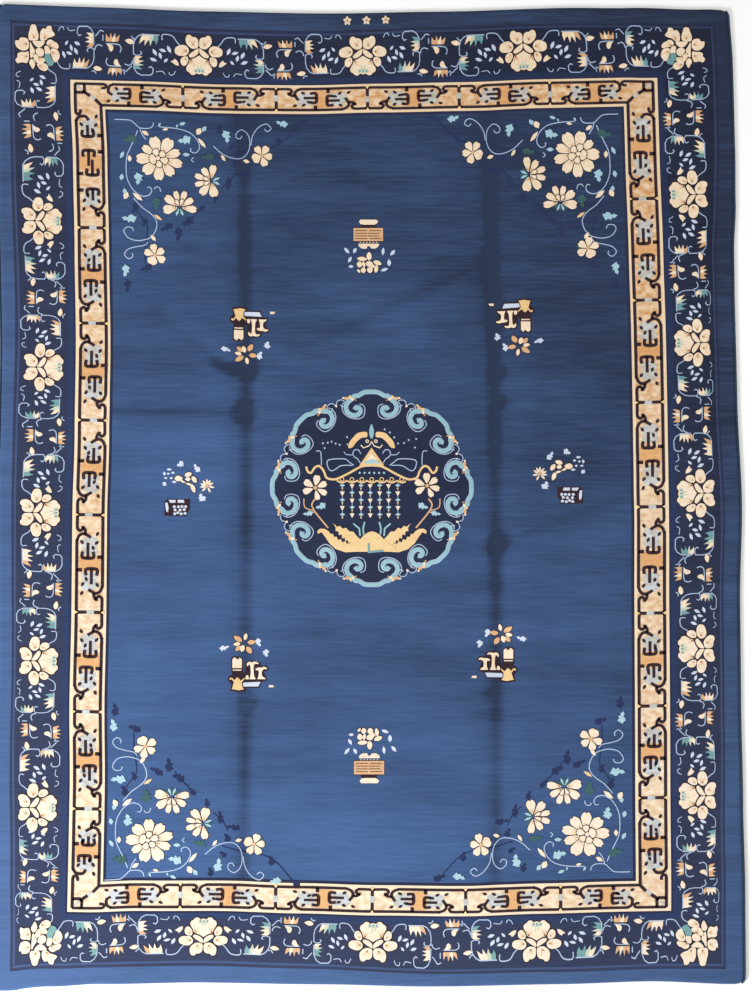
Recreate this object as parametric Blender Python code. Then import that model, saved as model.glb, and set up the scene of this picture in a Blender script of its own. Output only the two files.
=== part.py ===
# A room-size hand-knotted Peking rug, lying on a floor.
# The knotted body is one slab of foundation and pile, with the uneven outline and the
# soft folds of a rug that was folded away. An overcast cord runs along each long side.
# Metres, +Z up. X runs across the rug, Y along it, and the floor is at Z = 0.

import math

import bmesh
import bpy
from mathutils import Vector

RUG_NAME = "peking_rug"

# The knotted body before it is pulled out of true
HALF_WIDTH = 1.366
HALF_LENGTH = 1.804
THICKNESS = 0.009
CORNER_RADIUS = 0.026
RIM_DROP = 0.0025

# How the weave runs out of true
SKEW = -0.008
SIDE_BOW = 0.018
TOP_SAG = 0.025
BOTTOM_SAG = 0.015
WAVY_FROM = 0.86

# How far each edge runs out past its even curve. Columns: place along the edge, metres out
TOP_EDGE = (
    (-1.34, 0.010), (-0.98, 0.008), (-0.60, 0.001), (-0.15, -0.003), (0.26, 0.003),
    (0.75, 0.011), (1.00, 0.005), (1.28, -0.009), (1.37, -0.015),
)
BOTTOM_EDGE = (
    (-1.34, 0.035), (-1.15, 0.016), (-0.97, 0.004), (-0.60, -0.006), (-0.17, -0.002),
    (0.23, 0.006), (0.70, 0.001), (1.00, -0.005), (1.36, 0.011),
)
RIGHT_EDGE = (
    (-1.77, 0.004), (-1.50, 0.002), (-1.15, -0.005), (-0.79, -0.010), (-0.42, -0.010),
    (-0.05, 0.002), (0.32, -0.008), (0.69, -0.009), (0.88, -0.007), (1.07, 0.004),
    (1.26, 0.008), (1.60, 0.010), (1.79, 0.004),
)
LEFT_EDGE = (
    (-1.77, 0.002), (-1.20, 0.006), (-0.70, -0.004), (-0.10, 0.003), (0.50, -0.005),
    (1.10, 0.004), (1.79, -0.002),
)

# Ridges lift the whole rug off the floor, and creases are pressed into the pile alone.
# Columns: start across and along, end across and along, half width, height
FOLD_LINE = 0.46
SHOULDER_LINE = FOLD_LINE + 0.10
RIDGES = (
    (-SHOULDER_LINE, -1.25, -SHOULDER_LINE, 1.20, 0.110, 0.0030),
    (SHOULDER_LINE, -1.20, SHOULDER_LINE, 1.25, 0.110, 0.0032),
    (-0.93, 0.23, -0.56, 0.22, 0.090, 0.0038),
    (-0.36, 0.40, 0.36, 0.76, 0.120, 0.0034),
    (0.52, -0.28, 0.96, -0.10, 0.100, 0.0030),
    (-0.43, -1.12, -0.08, -0.95, 0.110, 0.0042),
    (-0.05, -0.47, 0.87, -0.43, 0.140, 0.0036),
    (-0.36, -0.86, 0.34, -0.83, 0.100, 0.0026),
)
CREASES = (
    (-FOLD_LINE, -1.45, -FOLD_LINE, 1.45, 0.075, 0.0024),
    (FOLD_LINE, -1.45, FOLD_LINE, 1.45, 0.075, 0.0024),
    (-0.96, 0.30, -0.46, 0.30, 0.060, 0.0022),
    (-0.94, 0.48, -0.50, 0.47, 0.060, 0.0014),
    (-0.43, 0.47, 0.42, 0.86, 0.070, 0.0018),
    (0.46, -0.19, 0.98, 0.00, 0.060, 0.0018),
    (-0.46, -0.77, 0.40, -0.74, 0.060, 0.0014),
)

# Lines of the slab's mesh: even steps, then closer lines round the rim
COLUMN_STEP = FOLD_LINE / 9
COLUMNS_EACH_SIDE = 25
ROW_STEP = 0.0594
ROWS_EACH_SIDE = 29
RIM_LINES = (CORNER_RADIUS, 0.0085, 0.0)

# Overcast side cords
CORD_RADIUS = 0.0042
CORD_GAP = 0.0003
CORD_END_ANGLE = math.radians(50)
CORD_END_STEPS = 4
CORD_BEVEL_RESOLUTION = 2

SMOOTH_ANGLE = math.radians(40)
WOOL_BLUE = (0.055, 0.085, 0.21, 1.0)
CORD_TEAL = (0.028, 0.055, 0.075, 1.0)
WOOL_ROUGHNESS = 0.95


def clear_scene():
    for item in list(bpy.data.objects):
        bpy.data.objects.remove(item, do_unlink=True)


def wool(name, colour):
    material = bpy.data.materials.new(name)
    material.use_nodes = True
    shader = material.node_tree.nodes["Principled BSDF"]
    shader.inputs["Base Color"].default_value = colour
    shader.inputs["Roughness"].default_value = WOOL_ROUGHNESS
    shader.inputs["Metallic"].default_value = 0.0
    return material


def soft_step(share):
    share = min(max(share, 0.0), 1.0)
    return share * share * (3 - 2 * share)


def between_rows(table, place):
    """The table's second column at a place in its first, eased from row to row."""
    if place <= table[0][0]:
        return table[0][1]
    for (low, at_low), (high, at_high) in zip(table, table[1:]):
        if place <= high:
            return at_low + (at_high - at_low) * soft_step((place - low) / (high - low))
    return table[-1][1]


def on_floor(across, along):
    """Where a point of the straight rug lies once the weave has run out of true."""
    side = across / HALF_WIDTH
    end = along / HALF_LENGTH
    top_share = (end + 1) / 2
    sag = TOP_SAG * top_share + BOTTOM_SAG * (1 - top_share)
    x = across + SKEW * end + SIDE_BOW * (1 - end * end)
    y = along - sag * (1 - min(side * side, 1.0))
    side_waver = soft_step((abs(side) - WAVY_FROM) / (1 - WAVY_FROM))
    end_waver = soft_step((abs(end) - WAVY_FROM) / (1 - WAVY_FROM))
    x += side_waver * (between_rows(RIGHT_EDGE, along) if side > 0 else -between_rows(LEFT_EDGE, along))
    y += end_waver * (between_rows(TOP_EDGE, across) if end > 0 else -between_rows(BOTTOM_EDGE, across))
    return x, y


def round_corner(across, along):
    """Turns the square of mesh at each corner into a quarter disc."""
    past_side = abs(across) - (HALF_WIDTH - CORNER_RADIUS)
    past_end = abs(along) - (HALF_LENGTH - CORNER_RADIUS)
    if past_side <= 0 or past_end <= 0:
        return across, along
    shrink = max(past_side, past_end) / math.hypot(past_side, past_end)
    across = math.copysign(HALF_WIDTH - CORNER_RADIUS + past_side * shrink, across)
    along = math.copysign(HALF_LENGTH - CORNER_RADIUS + past_end * shrink, along)
    return across, along


def line_height(rows, across, along):
    """The sum of soft rounded lines, each a cosine hump that ends at its half width."""
    total = 0.0
    for start_across, start_along, end_across, end_along, half_width, height in rows:
        run_across = end_across - start_across
        run_along = end_along - start_along
        length_squared = run_across ** 2 + run_along ** 2
        share = ((across - start_across) * run_across + (along - start_along) * run_along) / length_squared
        share = min(max(share, 0.0), 1.0)
        off = math.hypot(across - start_across - share * run_across, along - start_along - share * run_along)
        if off < half_width:
            total += height * math.cos(math.pi / 2 * off / half_width) ** 2
    return total


def mesh_lines(half_size, step, count):
    """Places of the mesh lines across one direction, closer together at both rims."""
    inner = [step * index for index in range(-count, count + 1)]
    rim = [half_size - inset for inset in RIM_LINES]
    return [-place for place in reversed(rim)] + inner + rim


def knotted_body(collection):
    columns = mesh_lines(HALF_WIDTH, COLUMN_STEP, COLUMNS_EACH_SIDE)
    rows = mesh_lines(HALF_LENGTH, ROW_STEP, ROWS_EACH_SIDE)
    cloth = bmesh.new()
    bmesh.ops.create_grid(cloth, x_segments=len(columns) - 1, y_segments=len(rows) - 1, size=1.0)
    straight = []
    for vert in cloth.verts:
        column = round((vert.co.x + 1) / 2 * (len(columns) - 1))
        row = round((vert.co.y + 1) / 2 * (len(rows) - 1))
        on_rim = column in (0, len(columns) - 1) or row in (0, len(rows) - 1)
        straight.append((vert, *round_corner(columns[column], rows[row]), on_rim))
    for vert, across, along, _ in straight:
        vert.co.x, vert.co.y = on_floor(across, along)
        vert.co.z = line_height(RIDGES, across, along)
    under = bmesh.ops.duplicate(cloth, geom=cloth.verts[:] + cloth.edges[:] + cloth.faces[:])
    bmesh.ops.reverse_faces(cloth, faces=[item for item in under["geom"] if isinstance(item, bmesh.types.BMFace)])
    for vert, across, along, on_rim in straight:
        vert.co.z += THICKNESS - line_height(CREASES, across, along) - (RIM_DROP if on_rim else 0.0)
    rims = [edge for edge in cloth.edges if edge.is_boundary]
    bmesh.ops.bridge_loops(cloth, edges=rims)
    bmesh.ops.recalc_face_normals(cloth, faces=cloth.faces)
    mesh = bpy.data.meshes.new("rug_pile")
    cloth.to_mesh(mesh)
    cloth.free()
    mesh.shade_smooth()
    mesh.set_sharp_from_angle(angle=SMOOTH_ANGLE)
    body = bpy.data.objects.new("rug_pile", mesh)
    body.data.materials.append(wool("indigo_wool_pile", WOOL_BLUE))
    collection.objects.link(body)
    return body


def cord_path(side):
    """The middle of the side cord: up the long side, and partly round both corners."""
    out = CORD_GAP + CORD_RADIUS
    straight_end = HALF_LENGTH - CORNER_RADIUS
    rows = [place for place in mesh_lines(HALF_LENGTH, ROW_STEP, ROWS_EACH_SIDE) if abs(place) <= straight_end]
    turn = [CORD_END_ANGLE * step / CORD_END_STEPS for step in range(1, CORD_END_STEPS + 1)]
    reach = CORNER_RADIUS + out
    straight = [(HALF_WIDTH + out, along) for along in rows]
    top = [
        (HALF_WIDTH - CORNER_RADIUS + reach * math.cos(angle), straight_end + reach * math.sin(angle))
        for angle in turn
    ]
    bottom = [(across, -along) for across, along in reversed(top)]
    return [on_floor(side * across, along) for across, along in bottom + straight + top]


def side_cord(name, side, material, collection):
    curve = bpy.data.curves.new(name, "CURVE")
    curve.dimensions = "3D"
    curve.bevel_depth = CORD_RADIUS
    curve.bevel_resolution = CORD_BEVEL_RESOLUTION
    curve.use_fill_caps = True
    path = cord_path(side)
    spline = curve.splines.new("POLY")
    spline.points.add(len(path) - 1)
    for point, (x, y) in zip(spline.points, path):
        point.co = (x, y, CORD_RADIUS, 1.0)
    curve.materials.append(material)
    cord = bpy.data.objects.new(name, curve)
    collection.objects.link(cord)
    return cord


def centre_on_origin(objects):
    """Puts the middle of the whole rug's box over the origin, and leaves it on the floor."""
    bpy.context.view_layer.update()
    corners = [item.matrix_world @ Vector(corner) for item in objects for corner in item.bound_box]
    middle_x = (min(corner.x for corner in corners) + max(corner.x for corner in corners)) / 2
    middle_y = (min(corner.y for corner in corners) + max(corner.y for corner in corners)) / 2
    for item in objects:
        item.location = (-middle_x, -middle_y, 0.0)


def main():
    clear_scene()
    collection = bpy.data.collections.new(RUG_NAME)
    bpy.context.scene.collection.children.link(collection)
    cord_wool = wool("overcast_teal_wool", CORD_TEAL)
    pieces = [
        knotted_body(collection),
        side_cord("selvedge_left", -1, cord_wool, collection),
        side_cord("selvedge_right", 1, cord_wool, collection),
    ]
    centre_on_origin(pieces)


main()
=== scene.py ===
import cmath
import math

import bmesh
import bpy
import numpy as np
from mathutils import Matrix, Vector


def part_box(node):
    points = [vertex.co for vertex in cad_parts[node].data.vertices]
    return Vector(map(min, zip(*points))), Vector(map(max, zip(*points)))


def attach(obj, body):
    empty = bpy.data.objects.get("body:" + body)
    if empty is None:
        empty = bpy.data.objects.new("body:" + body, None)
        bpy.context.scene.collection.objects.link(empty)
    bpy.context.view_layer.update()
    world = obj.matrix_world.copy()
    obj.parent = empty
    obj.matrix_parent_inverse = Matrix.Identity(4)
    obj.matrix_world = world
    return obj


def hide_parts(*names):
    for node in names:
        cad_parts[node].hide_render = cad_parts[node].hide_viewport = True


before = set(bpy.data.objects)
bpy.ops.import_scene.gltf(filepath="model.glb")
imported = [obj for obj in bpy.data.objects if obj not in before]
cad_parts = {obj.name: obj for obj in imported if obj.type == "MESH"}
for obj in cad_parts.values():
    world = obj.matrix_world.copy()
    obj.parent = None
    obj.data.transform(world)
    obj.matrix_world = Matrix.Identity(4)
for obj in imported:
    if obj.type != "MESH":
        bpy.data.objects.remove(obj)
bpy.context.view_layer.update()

mm = 0.001

# The rug's true shape, in metres: the sizes that its solids were made with
rug = {
    "halfWidth": 1.366, "halfLength": 1.804, "thickness": 0.009, "cornerRadius": 0.026,
    "rimWidth": 0.0085, "rimDrop": 0.0035, "rimCurve": 2.2,
    "skew": -0.008, "sideBow": 0.018, "topSag": 0.025, "bottomSag": 0.015, "wavyFrom": 0.86,
    "inwardDrift": 0.013, "sideDrift": 0.004, "driftFrom": 1.60, "sideDriftFrom": 1.20,
    # How far out a waver starts, is full, begins to fade, and ends
    "frameSide": (0.62, 0.92, 1.24, 1.35), "frameEnd": (1.10, 1.38, 1.68, 1.79),
    "guardSide": (1.25, 1.30, 1.325, 1.355), "guardEnd": (1.68, 1.73, 1.75, 1.79),
}

# Waver of each edge, the gold frame and the outer guard line.
# Columns: place along it, metres out past the even curve
edgeWaver = {
    "top": ((-1.34, 0.010), (-0.98, 0.008), (-0.60, 0.001), (-0.15, -0.003), (0.26, 0.003),
            (0.75, 0.011), (1.00, 0.005), (1.28, -0.009), (1.37, -0.015)),
    "bottom": ((-1.34, 0.035), (-1.15, 0.016), (-0.97, 0.004), (-0.60, -0.006), (-0.17, -0.002),
               (0.23, 0.006), (0.70, 0.001), (1.00, -0.005), (1.36, 0.011)),
    "right": ((-1.77, 0.004), (-1.50, 0.002), (-1.15, -0.005), (-0.79, -0.010), (-0.42, -0.010),
              (-0.05, 0.002), (0.32, -0.008), (0.69, -0.009), (0.88, -0.007), (1.07, 0.004),
              (1.26, 0.008), (1.60, 0.010), (1.79, 0.004)),
    "left": ((-1.77, 0.002), (-1.20, 0.006), (-0.70, -0.004), (-0.10, 0.003), (0.50, -0.005),
             (1.10, 0.004), (1.79, -0.002)),
    "frameTop": ((-0.84, 0), (-0.54, -0.007), (-0.24, -0.007), (0.06, 0), (0.36, 0.004), (0.66, 0.011),
                 (0.96, 0.011), (1.07, 0.007)),
    "frameBottom": ((-1.02, -0.007), (-0.83, -0.015), (-0.54, -0.018), (-0.25, -0.011), (0.04, -0.004),
                    (0.34, 0), (0.63, -0.007), (0.92, -0.011)),
    "frameRight": ((-1.49, 0.007), (-1.10, 0.004), (-0.44, 0.004), (-0.11, 0.007), (0.56, 0.007),
                   (0.90, 0.004), (1.24, 0)),
    "frameLeft": ((-1.10, 0.004), (-0.77, 0.010), (-0.44, 0.007), (-0.11, 0.007), (0.22, 0), (0.56, -0.004),
                  (0.90, 0), (1.24, 0.004), (1.48, 0.011)),
    "guardTop": ((-0.90, 0), (-0.33, -0.006), (0.30, 0)),
    "guardBottom": ((-1.30, -0.006), (-0.92, 0), (-0.29, 0.003), (0.30, 0.012), (0.93, 0.016),
                    (1.30, 0.008)),
    "guardRight": ((-1.64, -0.017), (-1.40, -0.015), (-0.81, -0.007), (-0.26, -0.007), (0.30, -0.012),
                   (0.85, -0.013), (1.40, 0)),
    "guardLeft": ((-1.64, -0.020), (-1.40, -0.015), (-0.85, 0), (-0.33, 0.002), (0.26, 0.005), (0.74, 0),
                  (1.40, 0.009)),
}

# Soft folds. Columns: start across and along, end across and along, half width, height
foldLine = 0.46
shoulderLine = foldLine + 0.10
ridges = (
    (-shoulderLine, -1.25, -shoulderLine, 1.20, 0.110, 0.0030),
    (shoulderLine, -1.20, shoulderLine, 1.25, 0.110, 0.0032),
    (-0.93, 0.23, -0.56, 0.22, 0.090, 0.0038),
    (-0.36, 0.40, 0.36, 0.76, 0.120, 0.0034),
    (0.52, -0.28, 0.96, -0.10, 0.100, 0.0030),
    (-0.43, -1.12, -0.08, -0.95, 0.110, 0.0042),
    (-0.05, -0.47, 0.87, -0.43, 0.140, 0.0036),
    (-0.36, -0.86, 0.34, -0.83, 0.100, 0.0026),
)
creases = (
    (-foldLine, -1.45, -foldLine, 1.45, 0.075, 0.0024),
    (foldLine, -1.45, foldLine, 1.45, 0.075, 0.0024),
    (-0.96, 0.30, -0.46, 0.30, 0.060, 0.0022),
    (-0.94, 0.48, -0.50, 0.47, 0.060, 0.0014),
    (-0.43, 0.47, 0.42, 0.86, 0.070, 0.0018),
    (0.46, -0.19, 0.98, 0.00, 0.060, 0.0018),
    (0.46, 0.44, 1.02, 0.58, 0.045, 0.0014), (0.50, 0.34, 1.00, 0.16, 0.045, 0.0015),
    (-0.92, 0.78, -0.52, 0.46, 0.050, 0.0016), (0.52, -0.62, 1.00, -0.66, 0.050, 0.0012),
    (-0.46, -0.77, 0.40, -0.74, 0.060, 0.0014),
)


def softStep(share):
    share = np.clip(share, 0, 1)
    return share * share * (3 - 2 * share)


def waverOf(edge, place):
    places, outs = np.array(edgeWaver[edge]).T
    place = np.clip(place, places[0], places[-1])
    row = np.clip(np.searchsorted(places, place, side="right") - 1, 0, len(places) - 2)
    share = softStep((place - places[row]) / (places[row + 1] - places[row]))
    return outs[row] + (outs[row + 1] - outs[row]) * share


def rise(place, start, full, fade, end):  # grows from start to full, and is gone again from fade to end
    return softStep((place - start) / (full - start)) * (1 - softStep((place - fade) / (end - fade)))


def drift(place, start, half):  # full inside start, and gone at the edge
    return 1 - softStep((abs(place) - start) / (half - start))


def onFloor(u, v):  # where a point of the straight rug lies once the weave has run out of true
    side = u / rug["halfWidth"]
    end = v / rug["halfLength"]
    topShare = (end + 1) / 2
    sag = rug["topSag"] * topShare + rug["bottomSag"] * (1 - topShare)
    x = u + rug["skew"] * end + rug["sideBow"] * (1 - end * end)
    y = v - sag * (1 - np.minimum(side * side, 1))
    sideWaver = softStep((abs(side) - rug["wavyFrom"]) / (1 - rug["wavyFrom"]))
    endWaver = softStep((abs(end) - rug["wavyFrom"]) / (1 - rug["wavyFrom"]))
    x = x + sideWaver * np.where(side > 0, waverOf("right", v), -waverOf("left", v))
    y = y + endWaver * np.where(end > 0, waverOf("top", u), -waverOf("bottom", u))
    sideFrame = rise(abs(u), *rug["frameSide"])
    endFrame = rise(abs(v), *rug["frameEnd"])
    x = x + sideFrame * np.where(u > 0, waverOf("frameRight", v), -waverOf("frameLeft", v))
    y = y + endFrame * np.where(v > 0, waverOf("frameTop", u), -waverOf("frameBottom", u))
    sideGuard = rise(abs(u), *rug["guardSide"])
    endGuard = rise(abs(v), *rug["guardEnd"])
    x = x + sideGuard * np.where(u > 0, waverOf("guardRight", v), -waverOf("guardLeft", v))
    y = y + endGuard * np.where(v > 0, waverOf("guardTop", u), -waverOf("guardBottom", u))
    x = x + rug["sideDrift"] * drift(u, rug["sideDriftFrom"], rug["halfWidth"])
    y = y - rug["inwardDrift"] * drift(v, rug["driftFrom"], rug["halfLength"])
    return x, y


def lineHeight(rows, u, v):  # how high the soft lines of these rows stand
    total = np.zeros_like(u)
    for startU, startV, endU, endV, halfWidth, height in rows:
        runU, runV = endU - startU, endV - startV
        share = np.clip(((u - startU) * runU + (v - startV) * runV) / (runU ** 2 + runV ** 2), 0, 1)
        off = np.hypot(u - startU - share * runU, v - startV - share * runV)
        total += np.where(off < halfWidth, height * np.cos(math.pi / 2 * off / halfWidth) ** 2, 0)
    return total


def cadMiddle():  # how far the frame's centre lies from the straight rug's own
    count = 400
    along = np.linspace(-rug["halfLength"], rug["halfLength"], count)
    across = np.linspace(-rug["halfWidth"], rug["halfWidth"], count)
    rightX = onFloor(np.full(count, rug["halfWidth"]), along)[0].max()
    leftX = onFloor(np.full(count, -rug["halfWidth"]), along)[0].min()
    topY = onFloor(across, np.full(count, rug["halfLength"]))[1].max()
    bottomY = onFloor(across, np.full(count, -rug["halfLength"]))[1].min()
    low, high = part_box("rug_pile")
    return ((rightX + leftX) - (low[0] + high[0])) / 2, ((topY + bottomY) - (low[1] + high[1])) / 2


middle = cadMiddle()
print("frame centre lies", [round(part * 1000, 1) for part in middle], "mm from the rug's")


# Patches of painted light and shade, where the nap leans to the light or from it. Columns: across, along,
# reach across and along, tone
paintedLightPatches = (
    (-0.70, 0.02, 0.42, 0.30, 0.16), (-0.80, 0.40, 0.30, 0.16, -0.08), (-0.35, 0.95, 0.75, 0.30, -0.06),
    (0.05, 0.70, 0.55, 0.16, 0.08), (0.62, 0.95, 0.45, 0.55, -0.05), (0.10, -0.62, 0.45, 0.16, -0.14),
    (0.00, -1.26, 0.90, 0.24, 0.20), (0.62, -1.25, 0.20, 0.22, 0.06), (0.90, -1.00, 0.10, 0.45, -0.12),
    (0.80, 0.10, 0.34, 0.40, -0.14), (-0.30, -0.80, 0.40, 0.14, -0.12), (1.30, 0.60, 0.16, 1.10, -0.16),
    (-0.62, -0.95, 0.40, 0.16, -0.08), (-0.28, -0.28, 0.26, 0.14, 0.08), (0.70, -0.42, 0.30, 0.20, 0.06),
    (-0.70, 0.60, 0.28, 0.10, 0.12), (0.44, 0.55, 0.16, 0.40, -0.05),
)
# Painted shade in the creases and painted highlight on the ridges
paintedFoldLightShade = {
    "crease": 0.0024, "paintedCreaseShade": -0.42, "mostDepth": 1.05, "narrow": 4, "ridge": 0.0035,
    "paintedRidgeHighlight": 0.05,
    "uneven": 0.3, "shortWave": 9.1, "longWave": 4.3,  # the painted crease shade comes and goes along it
}


def paintedToneOf(u, v):  # painted light and shade: how much lighter the turned nap looks; the creases get painted shade and the ridges a painted highlight
    depth = np.minimum(lineHeight(creases, u, v) / paintedFoldLightShade["crease"], paintedFoldLightShade["mostDepth"])
    waves = np.sin(paintedFoldLightShade["shortWave"] * v + 3 * u) * np.sin(paintedFoldLightShade["longWave"] * v - 1)
    # Painted shade darkens the creases, a painted highlight lightens the ridges
    tone = paintedFoldLightShade["paintedCreaseShade"] * (1 + paintedFoldLightShade["uneven"] * waves) * depth ** paintedFoldLightShade["narrow"]
    tone = tone + paintedFoldLightShade["paintedRidgeHighlight"] * lineHeight(ridges, u, v) / paintedFoldLightShade["ridge"]
    for patchU, patchV, reachU, reachV, change in paintedLightPatches:
        away = np.hypot((u - patchU) / reachU, (v - patchV) / reachV)
        tone = tone + change * (1 - softStep(away))
    return tone


def pressOn(mesh, wholeBody=False):  # moves straight rug places and heights over the pile to the real rug
    count = len(mesh.vertices)
    flat = np.empty(count * 3)
    mesh.vertices.foreach_get("co", flat)
    u, v, lift = flat.reshape(-1, 3).T
    if wholeBody:
        u, v = roundCorner(u, v)
    x, y = onFloor(u, v)
    top = lift + rug["thickness"] - lineHeight(creases, u, v)
    if wholeBody:
        top = np.where(lift > -0.5, top, 0)
    z = top + lineHeight(ridges, u, v)
    mesh.vertices.foreach_set("co", np.stack([x - middle[0], y - middle[1], z], 1).ravel())
    # Each point also keeps its painted light and shade, for the wool finishes to read
    paintedLightShade = mesh.attributes.new("paintedLightShade", "FLOAT", "POINT")
    paintedLightShade.data.foreach_set("value", paintedToneOf(u, v))
    mesh.update()


def addPiece(name, mesh, material):
    piece = bpy.data.objects.new(name, mesh)
    bpy.context.scene.collection.objects.link(piece)
    for one in material if isinstance(material, (list, tuple)) else [material]:
        mesh.materials.append(one)
    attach(piece, "root")
    return piece


# Wool
def linear(code):  # an sRGB hex value as the shader's linear colour
    parts = [int(code[start:start + 2], 16) / 255 for start in (1, 3, 5)]
    return [part / 12.92 if part <= 0.04045 else ((part + 0.055) / 1.055) ** 2.4 for part in parts] + [1]


def addNode(tree, kind, settings, links):
    node = tree.nodes.new(kind)
    for name, value in settings.items():
        setattr(node, name, value)
    for name, value in links.items():
        if isinstance(value, bpy.types.NodeSocket):
            tree.links.new(value, node.inputs[name])
        else:
            node.inputs[name].default_value = value
    return node


wool = {
    # Pitch in mm, how many times as long across the rug, and share of the tone
    "rows": (9, 14, 0.26), "bands": (70, 9, 0.22), "patches": (420, 1.6, 0.25),
    "fleckPitch": 13, "fleckStretch": 1.4,
    "tuftPitch": 7, "tuftDepth": 0.9, "tuftStrength": 0.7,  # real knots are 3 mm, too fine to show
    "roughness": 0.94, "specular": 0.15, "sheen": 0.03, "sheenRoughness": 0.6,
}


def woolFinish(name, deep, pale, fade=(0, 0), rest=0.5, grain=1.0, paintedLightShade=0.4, fleck=0.0, blot=0):
    # Knotted wool, dyed in small lots: the tone shifts from row to row and lot to lot.
    # fleck and blot are the share and the mm of a closer mottle, and the argument between grain and fleck is
    # the share of the painted light and shade where the pile leans.
    # fade says how much the tone gains per metre across and along: painted light and shade, as the nap turns
    # to the light or from it.
    finish = bpy.data.materials.new(name)
    finish.use_nodes = True
    tree = finish.node_tree
    shader = tree.nodes["Principled BSDF"]
    place = addNode(tree, "ShaderNodeTexCoord", {}, {}).outputs["Object"]
    # Painted light and shade, read from the pile's points
    paintedLightFactor = addNode(tree, "ShaderNodeAttribute", {"attribute_name": "paintedLightShade"}, {}).outputs["Fac"]
    lots = [(pitch, stretch, share * grain) for pitch, stretch, share in (
        wool["rows"], wool["bands"], wool["patches"])]
    lots.append((blot or wool["fleckPitch"], wool["fleckStretch"], fleck))
    tone = addNode(tree, "ShaderNodeMath", {"operation": "MULTIPLY_ADD"}, {
        0: paintedLightFactor, 1: paintedLightShade, 2: rest - sum(lot[2] for lot in lots)}).outputs[0]
    for pitch, stretch, share in lots:
        if share == 0:
            continue
        across = addNode(tree, "ShaderNodeMapping", {}, {
            "Vector": place, "Scale": Vector((1 / stretch, 1, 0)) / (pitch * mm)}).outputs[0]
        shade = addNode(tree, "ShaderNodeTexNoise", {}, {
            "Vector": across, "Scale": 1.0, "Detail": 2.0, "Roughness": 0.5}).outputs[0]
        tone = addNode(tree, "ShaderNodeMath", {"operation": "MULTIPLY_ADD"}, {
            0: shade, 1: 2 * share, 2: tone}).outputs[0]
    # Painted light and shade: the tone shifts across and along the rug by fade
    split = addNode(tree, "ShaderNodeSeparateXYZ", {}, {0: place})
    tone = addNode(tree, "ShaderNodeMath", {"operation": "MULTIPLY_ADD"}, {
        0: split.outputs[0], 1: fade[0], 2: tone}).outputs[0]
    tone = addNode(tree, "ShaderNodeMath", {"operation": "MULTIPLY_ADD", "use_clamp": True}, {
        0: split.outputs[1], 1: fade[1], 2: tone}).outputs[0]
    mix = addNode(tree, "ShaderNodeMix", {"data_type": "RGBA"}, {0: tone, 6: linear(deep), 7: linear(pale)})
    tree.links.new(mix.outputs[2], shader.inputs["Base Color"])
    tufts = addNode(tree, "ShaderNodeTexNoise", {}, {
        "Vector": place, "Scale": 1 / (wool["tuftPitch"] * mm), "Detail": 3.0, "Roughness": 0.7}).outputs[0]
    bump = addNode(tree, "ShaderNodeBump", {}, {
        "Strength": wool["tuftStrength"], "Distance": wool["tuftDepth"] * mm, "Height": tufts})
    tree.links.new(bump.outputs[0], shader.inputs["Normal"])
    shader.inputs["Roughness"].default_value = wool["roughness"]
    shader.inputs["Specular IOR Level"].default_value = wool["specular"]
    shader.inputs["Sheen Weight"].default_value = wool["sheen"]
    shader.inputs["Sheen Roughness"].default_value = wool["sheenRoughness"]
    return finish


# Colours of each finish: its deepest and palest tone, which span the dye's own shifts and the painted light
# and shade
grounds = {
    "field": woolFinish("indigoField", "#243049", "#43608F", (-0.17, -0.20), 0.42, 1.15, 1.0),
    "navy": woolFinish("darkIndigoGround", "#191E30", "#3B4361", (-0.10, -0.14), 0.38, 0.7, 0.6),
    "outer": woolFinish("indigoEdgeBand", "#232B40", "#4A6694", (-0.15, -0.17), 0.47, 1.0, 0.8),
    "edge": woolFinish("midnightGuardLine", "#1D1F33", "#2B2F4C", (0, 0), 0.5, 0.6),
    "line": woolFinish("indigoGuardLine", "#20253C", "#38405C", (-0.12, -0.16), 0.42, 0.6),
    "guard": woolFinish("greyIndigoGuardStripe", "#2A3450", "#475C86", (-0.10, -0.14), 0.42, 0.7),
    "inner": woolFinish("darkIndigoGuardStripe", "#1D2640", "#31426A", (-0.10, -0.14), 0.42, 0.7),
    "gold": woolFinish("goldGround", "#BD8850", "#EDE0C7", (-0.05, -0.13), 0.50, 0.8, 0.3, 0.75, 19),
    "cream": woolFinish("creamGoldStripe", "#D2B286", "#EEE2CA", (-0.04, -0.12), 0.5, 0.8, 0.3),
}
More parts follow.
